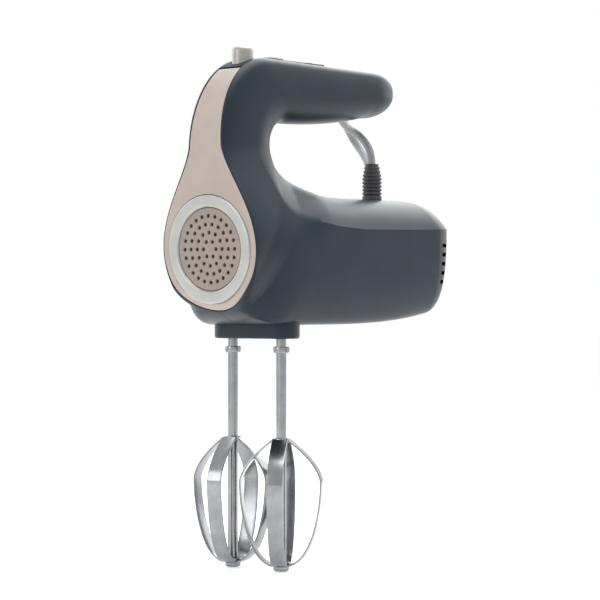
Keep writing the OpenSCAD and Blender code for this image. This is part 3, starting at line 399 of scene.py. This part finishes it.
# Plug, with its profile as growth and distance ahead of the cord's end
plug_profile = [(-4.6, 0.5), (-3.4, 1.0), (-2.9, 6), (-2.4, 9), (-1.2, 11.5), (-0.4, 14), (-0.1, 18), (0, 22),
                (0, 28.6), (-0.4, 29.6), (-1.4, 30)]
pin_profile = [(0, 29.9), (0, 46.5), (-0.12, 47.4), (-0.3, 48)]
plug = piece("plug_moulding", prism((9.0, 7.0), 5.0, [(grow, PLUG_Y - ahead) for grow, ahead in plug_profile],
                                    (coil_end[0], 0.0, coil_end[2]), "y"),
             dark_pvc, replaces=("plug_body",))
pin_shapes = [prism((0.75, 3.15), 0.3, [(grow, PLUG_Y - ahead) for grow, ahead in pin_profile],
                    (coil_end[0] + side * PIN_APART / 2, 0, coil_end[2]), "y", 4) for side in (-1, 1)]
pins = piece("plug_blades", together(*pin_shapes), pin_brass, replaces=("plug_pins",))

# Tie round the coil
TIE_HALF_W, TIE_T, TIE_CORNER, TIE_PLAY = 3.0, 0.75, 2.4, 0.3
TIE_LOW = np.array([COIL_X - COIL_PITCH - CORD_D / 2 - TIE_PLAY, COIL_Y - COIL_OUTER - CORD_D / 2])
TIE_HIGH = np.array([COIL_X + CORD_D / 2 + TIE_PLAY, COIL_Y - COIL_INNER + CORD_D / 2 + COIL_PITCH / 2])


def tie_band():
    """A strap round a rounded rectangle: its thin section, with soft edges, is carried round the outline."""
    mid, half = (TIE_LOW + TIE_HIGH) / 2, (TIE_HIGH - TIE_LOW) / 2
    section = rounded([(0.05, -TIE_HALF_W), (TIE_T, -TIE_HALF_W), (TIE_T, TIE_HALF_W), (0.05, TIE_HALF_W)],
                      0.3, 4)
    turn = np.concatenate([np.linspace(k, k + 1, 8) for k in range(4)]) * np.pi / 2
    sx, sy = np.repeat([1, -1, -1, 1], 8), np.repeat([1, 1, -1, -1], 8)
    out, up = section[:, 0][:, None], section[:, 1][:, None]
    grid = np.stack([mid[0] + sx * (half[0] - TIE_CORNER) + (TIE_CORNER + out) * np.cos(turn),
                     mid[1] + sy * (half[1] - TIE_CORNER) + (TIE_CORNER + out) * np.sin(turn),
                     COIL_Z + up + 0 * turn], -1)
    return skin(np.concatenate([grid, grid[:1]]), ends=False)


tie = piece("coil_strap", tie_band(), heel_rubber, replaces=("coil_tie",))


# Housing: angles in degrees on the outer edge, and those beside them on the inner edge, round chin and brow
CHIN_OUTER, CHIN_INNER = (0, 30, 52, 70, 80, 90), (25, 42, 56, 68, 74, 80)
BROW_OUTER, BROW_INNER = (0, 16, 32, 48, 62, 76, 90), (0, 12, 26, 42, 58, 74, 90)
FLARE_FROM, FRONT_FLAT_FROM, PANEL_TO, SPLIT_TURN = 52, 60, 62, 5.22
FLARE_POWER, SIDE_POWER, SEAM_HALF = 1.4, 0.8, 0.1
FRONT_LEVEL, NECK_LEVEL, FRONT_CREASE = 0.3, 0.1, 0.5
REAR_ROWS, DECK_REAR = 14, 132.0


def round_share(z):
    """Share of the round lower front that is left at a height: 1 at the grille and 0 at the neck, as a
    power of a cosine."""
    return np.cos(np.pi / 2 * np.clip((z - ROUND_Z) / FLARE_H, 0, 1)) ** FLARE_POWER


def panel_half(z):
    """Half width of the front panel's neck and flare."""
    return mix(NECK_HALF, ROUND_R, round_share(z))


def side_half(z):
    """Half width of the housing's front at a height."""
    return mix(HANDLE_HALF, BODY_HALF - 1, round_share(z))


def round_half(z):
    """Half width of the panel's round lower end, with a least width below it."""
    return np.sqrt(ROUND_R ** 2 - np.clip(ROUND_Z - z, 0, ROUND_R - 1) ** 2)


def front_y(z):
    """How far the leaning front plane lies before the beaters at a height."""
    return FRONT + (z - ROUND_Z) * np.tan(FRONT_LEAN)


def floor_z(y):
    """Underside of the body: level, then rising as a cube towards the rear."""
    return BODY_BOTTOM + HEEL_RISE * (np.maximum(y - FLOOR_FROM, 0) / (BODY_REAR - FLOOR_FROM)) ** 3


def inner_low(a):
    """Inner edge of the C at the foot of the post: a quarter ellipse of the lower fillet."""
    return np.stack([POST_REAR + FILLET_Y * (1 - np.sin(a)), DECK_Z + FILLET_Z * (1 - np.cos(a))], -1)


def inner_high(a):
    """Inner edge of the C at the top of the post: a quarter circle of the upper fillet."""
    return np.stack([POST_REAR + UPPER_FILLET * (1 - np.cos(a)),
                     HANDLE_UNDER + UPPER_FILLET * (np.sin(a) - 1)], -1)


def outer_low(b):
    """Outer edge round the chin: a quarter ellipse from the underside to the front."""
    return np.stack([-mix(CHIN_Y, front_y(CHIN_Z), np.sin(b)), mix(CHIN_Z, BODY_BOTTOM, np.cos(b))], -1)


def outer_high(g):
    """Outer edge round the brow: a quarter ellipse from the front to the top of the handle."""
    return np.stack([-mix(BROW_Y, front_y(BROW_Z), np.cos(g)), mix(BROW_Z, HANDLE_TOP, np.sin(g))], -1)


def rows_of(outer, inner, flat, half, level, crease, flare):
    """One array of stations: outer and inner edge point, half width of the flat, half width, level of the
    shoulder, crease of the crown, flare."""
    n = len(outer)
    rest = [np.broadcast_to(np.asarray(v, float), n)[:, None] for v in (flat, half, level, crease, flare)]
    return np.concatenate([outer, inner, *rest], 1)


def stations(inset=0.0):
    """The housing's stations from the rear end, under the body, round the chin and the brow, to the handle's
    tip, drawn in by inset."""
    deg = np.radians
    a = deg(np.concatenate([np.linspace(90, SPLIT_TURN, REAR_ROWS), np.linspace(4, 0, 3)]))
    s, y = 1 - np.cos(a), BODY_REAR - inset - REAR_ROUND * (1 - np.sin(a))
    rear = rows_of(np.stack([y, floor_z(y) + REAR_RISE * s], -1), np.stack([y, DECK_Z - REAR_DROP * s], -1),
                   BODY_FLAT * (1 - s / 2), BODY_HALF - REAR_NARROW * s, BODY_LEVEL, 1, 0)
    y = np.linspace(DECK_REAR, DECK_FROM, 16)
    deck = rows_of(np.stack([y, floor_z(y)], -1), np.stack([y, 0 * y + DECK_Z], -1),
                   BODY_FLAT, BODY_HALF, BODY_LEVEL, 1, 0)
    s = np.linspace(0, 1, 10)[1:-1]
    y = mix(DECK_FROM, -CHIN_Y, s)
    bridge = rows_of(np.stack([y, floor_z(y)], -1), inner_low(deg(CHIN_INNER[0] * s)),
                     BODY_FLAT, BODY_HALF, BODY_LEVEL, 1, 0)
    b = np.linspace(0, 90, 31)
    s = b / 90
    chin_out = outer_low(deg(b))
    chin = rows_of(chin_out, inner_low(deg(np.interp(b, CHIN_OUTER, CHIN_INNER))),
                   mix(BODY_FLAT, round_half(chin_out[:, 1]), np.minimum(b / FRONT_FLAT_FROM, 1) ** 2),
                   mix(BODY_HALF, side_half(ROUND_Z), s * s), mix(BODY_LEVEL, FRONT_LEVEL, smooth(s)),
                   mix(1, FRONT_CREASE, smooth(s)), smooth(np.minimum(b / FLARE_FROM, 1)))
    s = np.linspace(0.04, 0.96, 36)
    z = mix(CHIN_Z, BROW_Z, s)
    front = rows_of(np.stack([-front_y(z), z], -1),
                    mix(inner_low(np.full(1, np.pi / 2)), inner_high(np.zeros(1)), s[:, None]),
                    np.where(z < ROUND_Z, round_half(z), panel_half(z)) * side_half(ROUND_Z) / side_half(z),
                    side_half(ROUND_Z), mix(FRONT_LEVEL, NECK_LEVEL, s), FRONT_CREASE * (1 - s), 1)
    g = np.linspace(0, 90, 25)
    brow = rows_of(outer_high(deg(g)), inner_high(deg(np.interp(g, BROW_OUTER, BROW_INNER))),
                   mix(NECK_HALF, HANDLE_FLAT, g / 90), HANDLE_HALF, NECK_LEVEL, 0, 0)
    s = np.linspace(0, 1, 20)[1:-1]
    last = HANDLE_REACH - TIP_ROUND
    handle = rows_of(np.stack([mix(-BROW_Y, last, s), HANDLE_TOP - TOP_FALL * s], -1),
                     np.stack([mix(POST_REAR + UPPER_FILLET, last, s),
                               HANDLE_UNDER + UNDER_RISE * s * s], -1),
                     HANDLE_FLAT, HANDLE_HALF, NECK_LEVEL * np.clip(1 - s / 0.3, 0, 1), 0, 0)
    a = deg(np.linspace(0, 90, 16))
    s, y = 1 - np.cos(a), HANDLE_REACH - inset - TIP_ROUND * (1 - np.sin(a))
    tip = rows_of(np.stack([y, HANDLE_TOP - TOP_FALL - TIP_DROP * s], -1),
                  np.stack([y, HANDLE_UNDER + UNDER_RISE + TIP_RISE * s], -1),
                  HANDLE_FLAT * (1 - s / 2), HANDLE_HALF - TIP_NARROW * s, 0, 0, 0)
    made = np.concatenate([rear, deck, bridge, chin, front, brow, handle, tip])
    way = made[:, 2:4] - made[:, :2]
    way /= np.linalg.norm(way, axis=1, keepdims=True)
    made[:, :2] += way * inset
    made[:, 2:4] -= way * inset
    made[:, 4] = np.maximum(made[:, 4] - inset, 1)
    made[:, 5] -= inset
    return made


def half_form(rows):
    """The left half of each station: a flat outer face, a side that rounds like a superellipse up to the
    shoulder, and an inner face between a round and a flat crown."""
    outer, inner = rows[:, None, :2], rows[:, None, 2:4]
    flat, half, level, crease, flare = (rows[:, 4 + k][:, None] for k in range(5))
    u = np.linspace(0, 1, 9)[:-1]
    q = np.pi / 4 * (1 - np.cos(np.pi * np.linspace(0, 1, 22)))
    v = np.linspace(0, 1, 22)[1:]
    ones = np.ones_like(flat)
    x = np.concatenate([flat * u, flat + (half - flat) * np.sin(q) ** SIDE_POWER,
                        half * mix(np.cos(np.pi / 2 * v), 1 - v, crease)], 1)
    t = np.concatenate([-ones * np.ones_like(u), level - (1 + level) * np.abs(np.cos(q)) ** SIDE_POWER,
                        level + (1 - level) * mix(np.sin(np.pi / 2 * v), 1 - (1 - v) ** CROWN, crease)], 1)
    c = mix(outer, inner, (t[..., None] + 1) / 2)
    x = x * mix(1, side_half(c[..., 1]) / side_half(ROUND_Z), flare)
    x[:, 0] = x[:, -1] = SEAM_HALF
    return np.concatenate([x[..., None], c], -1)


def walled(outside, inside, mirror):
    """A wall between two grids of the same size: both grids, the rim along their edges, and at the last row,
    where the form closes, one face across each grid."""
    rows, columns = outside.shape[:2]
    n = rows * columns
    points, faces = together(skin(outside, ring=False, ends=False), skin(inside, ring=False, ends=False))
    at = np.arange(n).reshape(rows, columns)
    for edge in (at[:, 0], at[:, -1], at[0]):
        faces += np.stack([edge[:-1], edge[1:], edge[1:] + n, edge[:-1] + n], -1).tolist()
    last = at[-1].tolist()
    faces += [last, [i + n for i in last], [last[0], last[-1], last[-1] + n, last[0] + n]]
    return points * ((-1, 1, 1) if mirror else (1, 1, 1)), faces


def front_rows(grow=0.0):
    """Rows of the front panel, grown by a margin, from its round lower end to the brow: outer point, way
    inwards, half width."""
    r = ROUND_R + grow
    low = np.linspace(0.02, 1, 40) * np.arccos((ROUND_Z - CHIN_Z) / r)
    z = ROUND_Z - r * np.cos(low)
    b = np.arccos(np.clip((CHIN_Z - z) / (CHIN_Z - BODY_BOTTOM), 0, 1))
    chin_out = outer_low(b)
    chin_share = (np.degrees(b) - FLARE_FROM) / (90 - FLARE_FROM)
    chin_in = inner_low(np.radians(mix(CHIN_INNER[2], CHIN_INNER[-1], chin_share)))
    z = np.linspace(CHIN_Z, BROW_Z, 90)[1:]
    front_half = np.where(z < ROUND_Z, np.sqrt(np.maximum(r ** 2 - (z - ROUND_Z) ** 2, 0)),
                          panel_half(z) + grow)
    front_in = mix(inner_low(np.full(1, np.pi / 2)), inner_high(np.zeros(1)),
                   ((z - CHIN_Z) / (BROW_Z - CHIN_Z))[:, None])
    g = np.linspace(0, PANEL_TO + grow * 2, 24)[1:]
    brow_in = inner_high(np.radians(np.interp(g, BROW_OUTER, BROW_INNER)))
    outer = np.concatenate([chin_out, np.stack([-front_y(z), z], -1), outer_high(np.radians(g))])
    inner = np.concatenate([chin_in, front_in, brow_in])
    half = np.concatenate([r * np.sin(low), front_half, mix(NECK_HALF, HANDLE_FLAT, g / 90) + grow])
    way = inner - outer
    return outer, way / np.linalg.norm(way, axis=1, keepdims=True), half


PANEL_DRAFT, PANEL_EDGE, PANEL_PLAY = 0.6, 1.1, 0.2
GRILLE_CENTRE = (0, -FRONT, ROUND_Z)


def panel(grow, proud, depth, edge):
    """The panel's rows across their width, from proud of the surface to depth below it; within edge of the
    rim the face falls away like a quarter circle, and the walls have a draft."""
    outer, way, half = front_rows(grow)
    along = np.concatenate([[0], np.cumsum(np.linalg.norm(np.diff(outer, axis=0), axis=1))])
    u = np.sin(np.linspace(-1, 1, 41) * np.pi / 2)
    x = half[:, None] * u
    z = outer[:, 1][:, None]
    rim = np.minimum(half[:, None] - np.abs(x), (along[-1] - along)[:, None])
    rim = np.where(z < ROUND_Z, np.minimum(rim, ROUND_R + grow - np.hypot(x, z - ROUND_Z)), rim)
    fall = edge * (1 - np.sqrt(np.clip(1 - (1 - np.clip(rim / edge, 0, 1)) ** 2, 0, 1))) if edge else 0 * x
    sides = []
    for sunk, draft in ((fall - proud, 0.0), (0 * x + depth, PANEL_DRAFT)):
        across = np.maximum(half - draft, 0.3 * half)[:, None] * u
        profile = outer[:, None] + way[:, None] * sunk[..., None]
        sides.append(np.concatenate([across[..., None], profile], -1))
    return skin(np.concatenate([sides[0], sides[1][:, ::-1]], 1))


def at_grille(shape):
    """A skin made with its zero on the grille's centre and y straight into the housing, leant with the
    front."""
    c, s = np.cos(FRONT_LEAN), np.sin(FRONT_LEAN)
    return shape[0] @ np.array([[1, 0, 0], [0, c, s], [0, -s, c]]) + GRILLE_CENTRE, shape[1]


def bore(r, low, high, centre, along="z", steps=48):
    """A round cutter from one level to another."""
    return turned([(r, low), (r, high)], centre, along, steps)


def well(half, play, corner, low, high, y):
    """A cutter with the outline of a rounded rectangle, grown by its play, from one height to another."""
    return prism((half[0] + play, half[1] + play), corner, [(0, low), (0, high)], (0, y, 0))


# Two housing halves, with the openings that their neighbours sit in
SHELL_SHARP, PANEL_SHARP, ABOVE = 28.0, 40.0, 190.0
RING_PLAY, NOSE_PLAY, BUTTON_PLAY, BEZEL_PLAY, POCKET_PLAY, POCKET_PROUD = 0.25, 0.1, 0.35, 0.2, 0.12, 1.5
SCREW_R, SCREWS = 3.15, ((130, 58), (118, 30), (-27, 29), (-34, 120), (100, 156))
outside, inside = half_form(stations()), half_form(stations(WALL))
grille_eye = at_grille(bore(RING_R + RING_PLAY, -3, 12, (0, 0, 0), "y", 96))
shared_cuts = [
    panel(POCKET_PLAY, POCKET_PROUD, PANEL_T, 0),
    grille_eye,
    well(BUTTON_HALF, BUTTON_PLAY, 6.3, 150, ABOVE, EJECT_Y),
    well(BEZEL_HALF, BEZEL_PLAY, 1.2, 160, ABOVE, BEZEL_Y),
    well(NOSE_HALF, NOSE_PLAY, 11.55, -5, 20, 0),
    bore(RELIEF_WELL_R, 80, 100, (0, RELIEF_Y, 0))]
screw_wells = [bore(SCREW_R, -90, -6, (0, y, z), "x", 32) for y, z in SCREWS]
for side, mirror, cuts in (("left", False, shared_cuts), ("right", True, shared_cuts + screw_wells)):
    shell = piece(f"{side}_housing_half", walled(outside[REAR_ROWS - 1:], inside[REAR_ROWS - 1:], mirror),
                  slate_abs, replaces=(f"{side}_shell",), sharp=SHELL_SHARP)
    cut(shell, cuts, SHELL_SHARP)


def full_ring(half):
    """A half form and its mirror image as closed rings."""
    half = half.copy()
    half[:, (0, -1), 0] = 0.0
    return np.concatenate([half, half[:, -2:0:-1] * (-1, 1, 1)], 1)


def cup(outside, inside):
    """A cup between two grids of rings: both skins, a face across the first row of each, and the rim."""
    points, faces = together(skin(outside, ends=False), skin(inside, ends=False))
    rows, columns = outside.shape[:2]
    n = rows * columns
    edge = np.arange(n - columns, n)
    after = np.roll(edge, -1)
    faces += np.stack([edge, after, after + n, edge + n], -1).tolist()
    faces += [list(range(columns)), list(range(n, n + columns))]
    return points, faces


# Rear cover behind a fine seam, with its air slots and its heel
REAR_SEAM = (0, 0.2, 0)
VENT_PITCH, VENT_MID, VENT_HALF, HEEL_Z = 6, 48, (60, 1.2), 54.75
rear = piece("vented_rear_cover",
             cup(full_ring(outside[:REAR_ROWS]) + REAR_SEAM, full_ring(inside[:REAR_ROWS]) + REAR_SEAM),
             slate_abs, replaces=("rear_cover",), sharp=SHELL_SHARP)
cut(rear, [prism(VENT_HALF, 1.15, [(0, REAR_SPLIT + 4), (0, REAR_SPLIT + 12)],
                 (0, 0, VENT_MID + VENT_PITCH * k), "y", 6) for k in range(-2, 3)], SHELL_SHARP)
heel_profile = [(0, BODY_REAR - 0.1), (0, BODY_REAR + 1.3), (-0.25, BODY_REAR + 1.75), (-0.9, BODY_REAR + 2)]
piece("rear_heel_pad", prism((15, 11), 11, heel_profile, (0, 0, HEEL_Z), "y"), heel_rubber,
      replaces=("heel_pad",))

# Front panel, with the grille in its ring
fascia = piece("champagne_front_panel", panel(0.0, 0.0, PANEL_T - PANEL_PLAY, PANEL_EDGE), champagne_lacquer,
               replaces=("front_fascia",), sharp=PANEL_SHARP)
cut(fascia, [grille_eye], PANEL_SHARP)
ring_profile = rounded([(23.0, 7), (RING_R, 7), (RING_R, 0.4), (RING_R - 0.5, -0.8), (26.6, -0.8),
                        (25.6, 0.6), (25.6, 3), (23.0, 3)], (0.3, 0.3, 0.3, 0.7, 0.7, 0.5, 0.2, 0.3), 6)
piece("silver_grille_ring", at_grille(turned(ring_profile, (0, 0, 0), "y", 128, True)), silver_lacquer,
      replaces=("grille_ring",))

HOLE_ROWS, ROW_STEP, HOLE_R, HOLE_CHAMFER, GRILLE_FACE, GRILLE_BACK = 4, 5.1, 1.2, 0.25, 0.3, 3.0


def grille_holes():
    """Cutters for the holes: row k is a ring of 6k of them, each with a small chamfer at its mouth."""
    mouth_r = HOLE_R + HOLE_CHAMFER
    profile = [(mouth_r, -1), (mouth_r, GRILLE_FACE), (HOLE_R, GRILLE_FACE + 0.3), (HOLE_R, GRILLE_BACK + 1)]
    return [turned(profile, (ROW_STEP * k * np.cos(a), -FRONT, ROUND_Z + ROW_STEP * k * np.sin(a)), "y", 24)
            for k in range(1, HOLE_ROWS + 1) for a in np.arange(6 * k) * np.pi / (3 * k)]


# The grille is cut while it stands upright, so that its faces are plane, and then leant with the front
disc = turned([(GRILLE_R - 0.4, GRILLE_FACE), (GRILLE_R, GRILLE_FACE + 0.4), (GRILLE_R, GRILLE_BACK)],
              GRILLE_CENTRE, "y", 96)
grille = piece("perforated_front_grille", disc, greige_abs, replaces=("front_grille",))
cut(grille, grille_holes())
pivot = Matrix.Translation(place(GRILLE_CENTRE).tolist())
grille.data.transform(pivot @ Matrix.Rotation(FRONT_LEAN, 4, "X") @ pivot.inverted())

# Nose, with a hole for each spindle
SPINDLE_HOLE_R = 5.7
nose_profile = [(-1.6, 0), (-0.7, 0.12), (-0.2, 0.6), (0, 1.6), (0, 11), (0, 12.3)]
nose = piece("nose_housing", prism(NOSE_HALF, NOSE_HALF[1], nose_profile, (0, 0, 0)), slate_abs,
             replaces=("nose_collar",))
cut(nose, [bore(SPINDLE_HOLE_R, -2, 14, (side * BEATER_X, 0, 0)) for side in (-1, 1)])


# Controls on the handle
TURBO_HOLE_R, RIB_PITCH = 5.3, 2.0
eject_profile = [(0, 156.6), (0, 178.5), (-0.25, 179.8), (-1.0, 180.6), (-2.4, 180.9), (-4.2, 181.0)]
piece("eject_cap", prism(BUTTON_HALF, BUTTON_HALF[0], eject_profile, (0, EJECT_Y, 0)), shaded_button_lacquer,
      "eject", ("eject_button",))
bezel_profile = [(1.2, 168.9), (1.2, 170.4), (0, 170.6), (0, 174.2), (-0.3, 174.7), (-0.8, 174.9)]
bezel = piece("control_surround", prism(BEZEL_HALF, 1.0, bezel_profile, (0, BEZEL_Y, 0)), dark_abs,
              replaces=("control_bezel",))
cut(bezel, [well(SLOT_HALF, 0, 2.2, 160, ABOVE, SLOT_Y), bore(TURBO_HOLE_R, 160, ABOVE, (0, TURBO_Y, 0))])
knob = [prism((5.5, 6), 1.4, [(0, 175.2), (0, 175.8), (-0.3, 176.1), (-0.9, 176.2)], (0, SLIDER_Y, 0)),
        prism((2, 2), 0.4, [(0, 168), (0, 175.6)], (0, SLIDER_Y, 0))]
rib_profile = [(0, 176.0), (0, 176.35), (-0.2, 176.5)]
ribs = [prism((4.4, 0.45), 0.4, rib_profile, (0, SLIDER_Y + RIB_PITCH * k, 0), steps=5) for k in range(-2, 3)]
piece("speed_slide_knob", together(*knob, *ribs), shaded_button_lacquer, "speed", ("speed_slider",))
turbo_profile = [(0, 166), (6.2, 166), (6.2, 168), (5, 168.2), (5, 175.2), (4.8, 175.6), (4.2, 175.85),
                 (2.5, 175.75), (0, 175.65)]
piece("turbo_push_button", turned(turbo_profile, (0, TURBO_Y, 0)), shaded_button_lacquer, "turbo",
      ("turbo_button",))


# Strain relief on the deck: a boot with grooves that let it bend, tapered up to the cord
GROOVE_FROM, GROOVE_TO, GROOVE_PITCH, TAPER_FROM = 91.3, 112.0, 2.4, 104
boot = [(0, 83.6), (8.4, 83.6), (8.4, 85.9), (6.5, 86.1), (6.5, 90.7)]
for z in np.arange(GROOVE_FROM, GROOVE_TO, GROOVE_PITCH):
    r = np.interp(z, (TAPER_FROM, RELIEF_TOP), (6.45, 4.55))
    boot += [(r, z), (r - 0.1, z + 1.4), (r - 0.9, z + 1.6), (r - 0.95, z + 2.2)]
boot += [(4.5, RELIEF_TOP - 0.8), (4.4, RELIEF_TOP - 0.3), (4.0, RELIEF_TOP), (0, RELIEF_TOP)]
piece("cord_boot", turned(rounded(boot, 0.18, 4, False), (0, RELIEF_Y, 0), "z", 48), dark_pvc,
      replaces=("strain_relief",))


# Beaters

HUB_R, HEAD_LOW = 5.0, -BARE_SHAFT - HEAD_H
LEFT_TURN, RIGHT_TURN = 31.0, 14.0


def strip_line():
    """Outer line of a blade, radius and height: a parabola out over the shoulder, then a cubic in to the
    foot."""
    s = np.linspace(0, 1, 24)[:, None]
    level = -BARE_SHAFT - HEAD_H / 3
    a, b, c = np.array([[HUB_R, -BARE_SHAFT], [HEAD_R - 2, -BARE_SHAFT - HEAD_H * 0.18], [HEAD_R, level]])
    upper = (1 - s) ** 2 * a + 2 * s * (1 - s) * b + s ** 2 * c
    s = np.linspace(0, 1, 40)[1:, None]
    d, e, f = np.array([[HEAD_R, level - HEAD_H * 0.22], [HEAD_R * 0.8, HEAD_LOW + 3], [HUB_R, HEAD_LOW]])
    lower = (1 - s) ** 3 * c + 3 * s * (1 - s) ** 2 * d + 3 * s ** 2 * (1 - s) * e + s ** 3 * f
    return np.concatenate([upper, lower])


def blade(turn):
    """One strip: a flat section with rounded edges carried along its line, turned about the shaft."""
    line = strip_line()
    way = np.gradient(line, axis=0)
    inward = np.stack([way[:, 1], -way[:, 0]], -1) / np.linalg.norm(way, axis=1, keepdims=True)
    edge = STRIP_W / 2
    section = rounded([(0, -edge), (STRIP_T, -edge), (STRIP_T, edge), (0, edge)], 0.5, 5)
    flat = line[:, None] + inward[:, None] * section[None, :, :1]
    r, across = flat[..., 0], np.broadcast_to(section[:, 1], flat.shape[:2])
    c, s = np.cos(turn), np.sin(turn)
    return skin(np.stack([r * c - across * s, r * s + across * c, flat[..., 1]], -1))


def moved(shape, by):
    """A skin shifted."""
    return shape[0] + np.asarray(by, float), shape[1]


shaft_profile = rounded([(0, HEAD_LOW), (SHAFT_R, HEAD_LOW), (SHAFT_R, 38.6), (2.2, 40), (0, 40)],
                        (0, 0.3, 0.8, 0.4, 0), 5, False)
collar_profile = rounded([(3.1, -9), (4.75, -9), (4.75, -5), (3.1, -5)], (0.1, 0.5, 0.5, 0.1), 5)
ear_profile = [(0, -8), (0, -5.4), (-0.3, -5.0)]
eyelet_r = HUB_R + 0.6
eyelets = [rounded([(3.12, z), (eyelet_r, z), (eyelet_r, z + 3), (3.12, z + 3)], (0.1, 0.7, 0.7, 0.1), 5)
           for z in (-BARE_SHAFT - 2.5, HEAD_LOW)]
foot_profile = rounded([(0, HEAD_LOW - 3), (HUB_R - 1, HEAD_LOW - 3), (HUB_R, HEAD_LOW - 2),
                        (HUB_R, HEAD_LOW), (0, HEAD_LOW)], (0, 0.8, 0.8, 0.2, 0), 5, False)
for side, sign, turn in (("left", 1, LEFT_TURN), ("right", -1, RIGHT_TURN)):
    at = (sign * BEATER_X, 0, 0)
    collar = turned(collar_profile, at, closed=True)
    ears = moved(prism((6.15, 0.8), 0.5, ear_profile, (0, 0, 0), steps=5), at)
    strips = [moved(blade(np.radians(turn + 90 * k)), at) for k in range(4)]
    rings = [turned(profile, at, closed=True) for profile in eyelets]
    for name, node_name, shape, sharp in (("shaft", "shaft", turned(shaft_profile, at), 35.0),
                                          ("collar", "collar", together(collar, ears), 35.0),
                                          ("blades", "blades", together(*strips, *rings), 50.0),
                                          ("foot", "cap", turned(foot_profile, at), 35.0)):
        piece(f"{side}_whisk_{name}", shape, polished_steel, f"{side}_beater",
              (f"{side}_beater_{node_name}",), sharp)


# Springs: round wire carried up a screw line, closed at both ends by flatter turns

def spring_line(r, low, high, curls, centre):
    """A screw line whose pitch is small over the first and the last turn."""
    s = np.linspace(0, 1, int(curls * 24))
    rise = np.interp(s * curls, (0, 1, curls - 1, curls), (0, 0.06, 0.94, 1))
    a = 2 * np.pi * curls * s
    return np.stack([r * np.cos(a), r * np.sin(a), mix(low, high, rise)], -1) + centre


eject_line = spring_line(3.7, 100.5, 124.5, 8, (0, EJECT_Y, 0))
eject_coil = piece("eject_return_spring", tube(eject_line, 0.5, 10), plated_steel,
                   replaces=("eject_spring",))
turbo_line = spring_line(2.6, 158.4, 165.1, 5, (0, TURBO_Y, 0))
turbo_coil = piece("turbo_return_spring", tube(turbo_line, 0.4, 10), plated_steel,
                   replaces=("turbo_spring",))
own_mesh(eject_coil)
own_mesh(turbo_coil)


# Carried-over solids: each takes the finish of its slot
for name, solid in frame["nodes"].items():
    finish = finish_of_slot[slot_of_node[name]]
    solid.data.materials.clear()
    solid.data.materials.append(finish)


# Stage: a plain pale floor, a white surround for the camera and for reflections, soft light from five sides

def seen_share(tree):
    """A socket that is 1 for the camera's own rays and for those reflected or let through, and 0 for the
    rest."""
    ray = node(tree, "ShaderNodeLightPath")
    seen = node(tree, "ShaderNodeMath", None,
                {0: ray.outputs["Is Camera Ray"], 1: ray.outputs["Is Glossy Ray"]}, operation="MAXIMUM")
    both = node(tree, "ShaderNodeMath", None,
                {0: seen.outputs[0], 1: ray.outputs["Is Transmission Ray"]}, operation="MAXIMUM")
    return both.outputs[0]


def stage_finish(name, colour, lift):
    """A matt floor whose colour the camera and reflections see lifted towards white."""
    made = bpy.data.materials.new(name)
    made.use_nodes = True
    tree = made.node_tree
    tree.nodes.clear()
    strength = node(tree, "ShaderNodeMath", {1: lift}, {0: seen_share(tree)}, operation="MULTIPLY")
    matt = node(tree, "ShaderNodeBsdfDiffuse", {"Color": linear(colour)})
    glow = node(tree, "ShaderNodeEmission", {"Color": (1, 1, 1, 1)}, {"Strength": strength.outputs[0]})
    total = node(tree, "ShaderNodeAddShader", None, {0: matt.outputs[0], 1: glow.outputs[0]})
    node(tree, "ShaderNodeOutputMaterial", None, {"Surface": total.outputs[0]})
    return made


floor_mesh = bpy.data.meshes.new("floor")
FLOOR_HALF, FLOOR_CLEAR = 8, 0.0005
level = float(cad_box[0][2]) - FLOOR_CLEAR
corners = [(x * FLOOR_HALF, y * FLOOR_HALF, level) for x, y in ((-1, -1), (1, -1), (1, 1), (-1, 1))]
floor_mesh.from_pydata(corners, [], [(0, 1, 2, 3)])
floor = bpy.data.objects.new("floor", floor_mesh)
scene.collection.objects.link(floor)
floor_mesh.materials.append(stage_finish("pale_matt_floor", "#e6e6e6", 0.56))

world = bpy.data.worlds.new("studio")
scene.world = world
world.use_nodes = True
tree = world.node_tree
tree.nodes.clear()
strength = node(tree, "ShaderNodeMapRange", {"To Min": 0.55, "To Max": 1.0}, {"Value": seen_share(tree)})
surround = node(tree, "ShaderNodeBackground", {"Color": (1, 1, 1, 1)},
                {"Strength": strength.outputs["Result"]})
node(tree, "ShaderNodeOutputWorld", None, {"Surface": surround.outputs[0]})

for name, spot, aim, size, power in (
        ("overhead_softbox", (0.1, 0.15, 0.95), (0.0, 0.0, -0.05), 1.1, 16.0),
        ("front_softbox", (-0.3, -1.4, 0.35), (0.0, 0.0, -0.1), 0.9, 7.0),
        ("low_rear_softbox", (0.3, 1.4, 0.3), (0.0, 0.0, -0.1), 0.9, 4.0),
        ("high_rear_softbox", (-0.53, 1.08, 0.73), (0.0, 0.0, 0.0), 1.0, 10.0),
        ("right_softbox", (-1.3, -0.2, 0.3), (0.0, 0.0, -0.1), 0.9, 6.0)):
    lamp = bpy.data.lights.new(name, "AREA")
    lamp.size, lamp.energy = size, power
    holder = bpy.data.objects.new(name, lamp)
    scene.collection.objects.link(holder)
    holder.location = spot
    holder.rotation_mode = "QUATERNION"
    holder.rotation_quaternion = (Vector(aim) - Vector(spot)).to_track_quat("-Z", "Y")
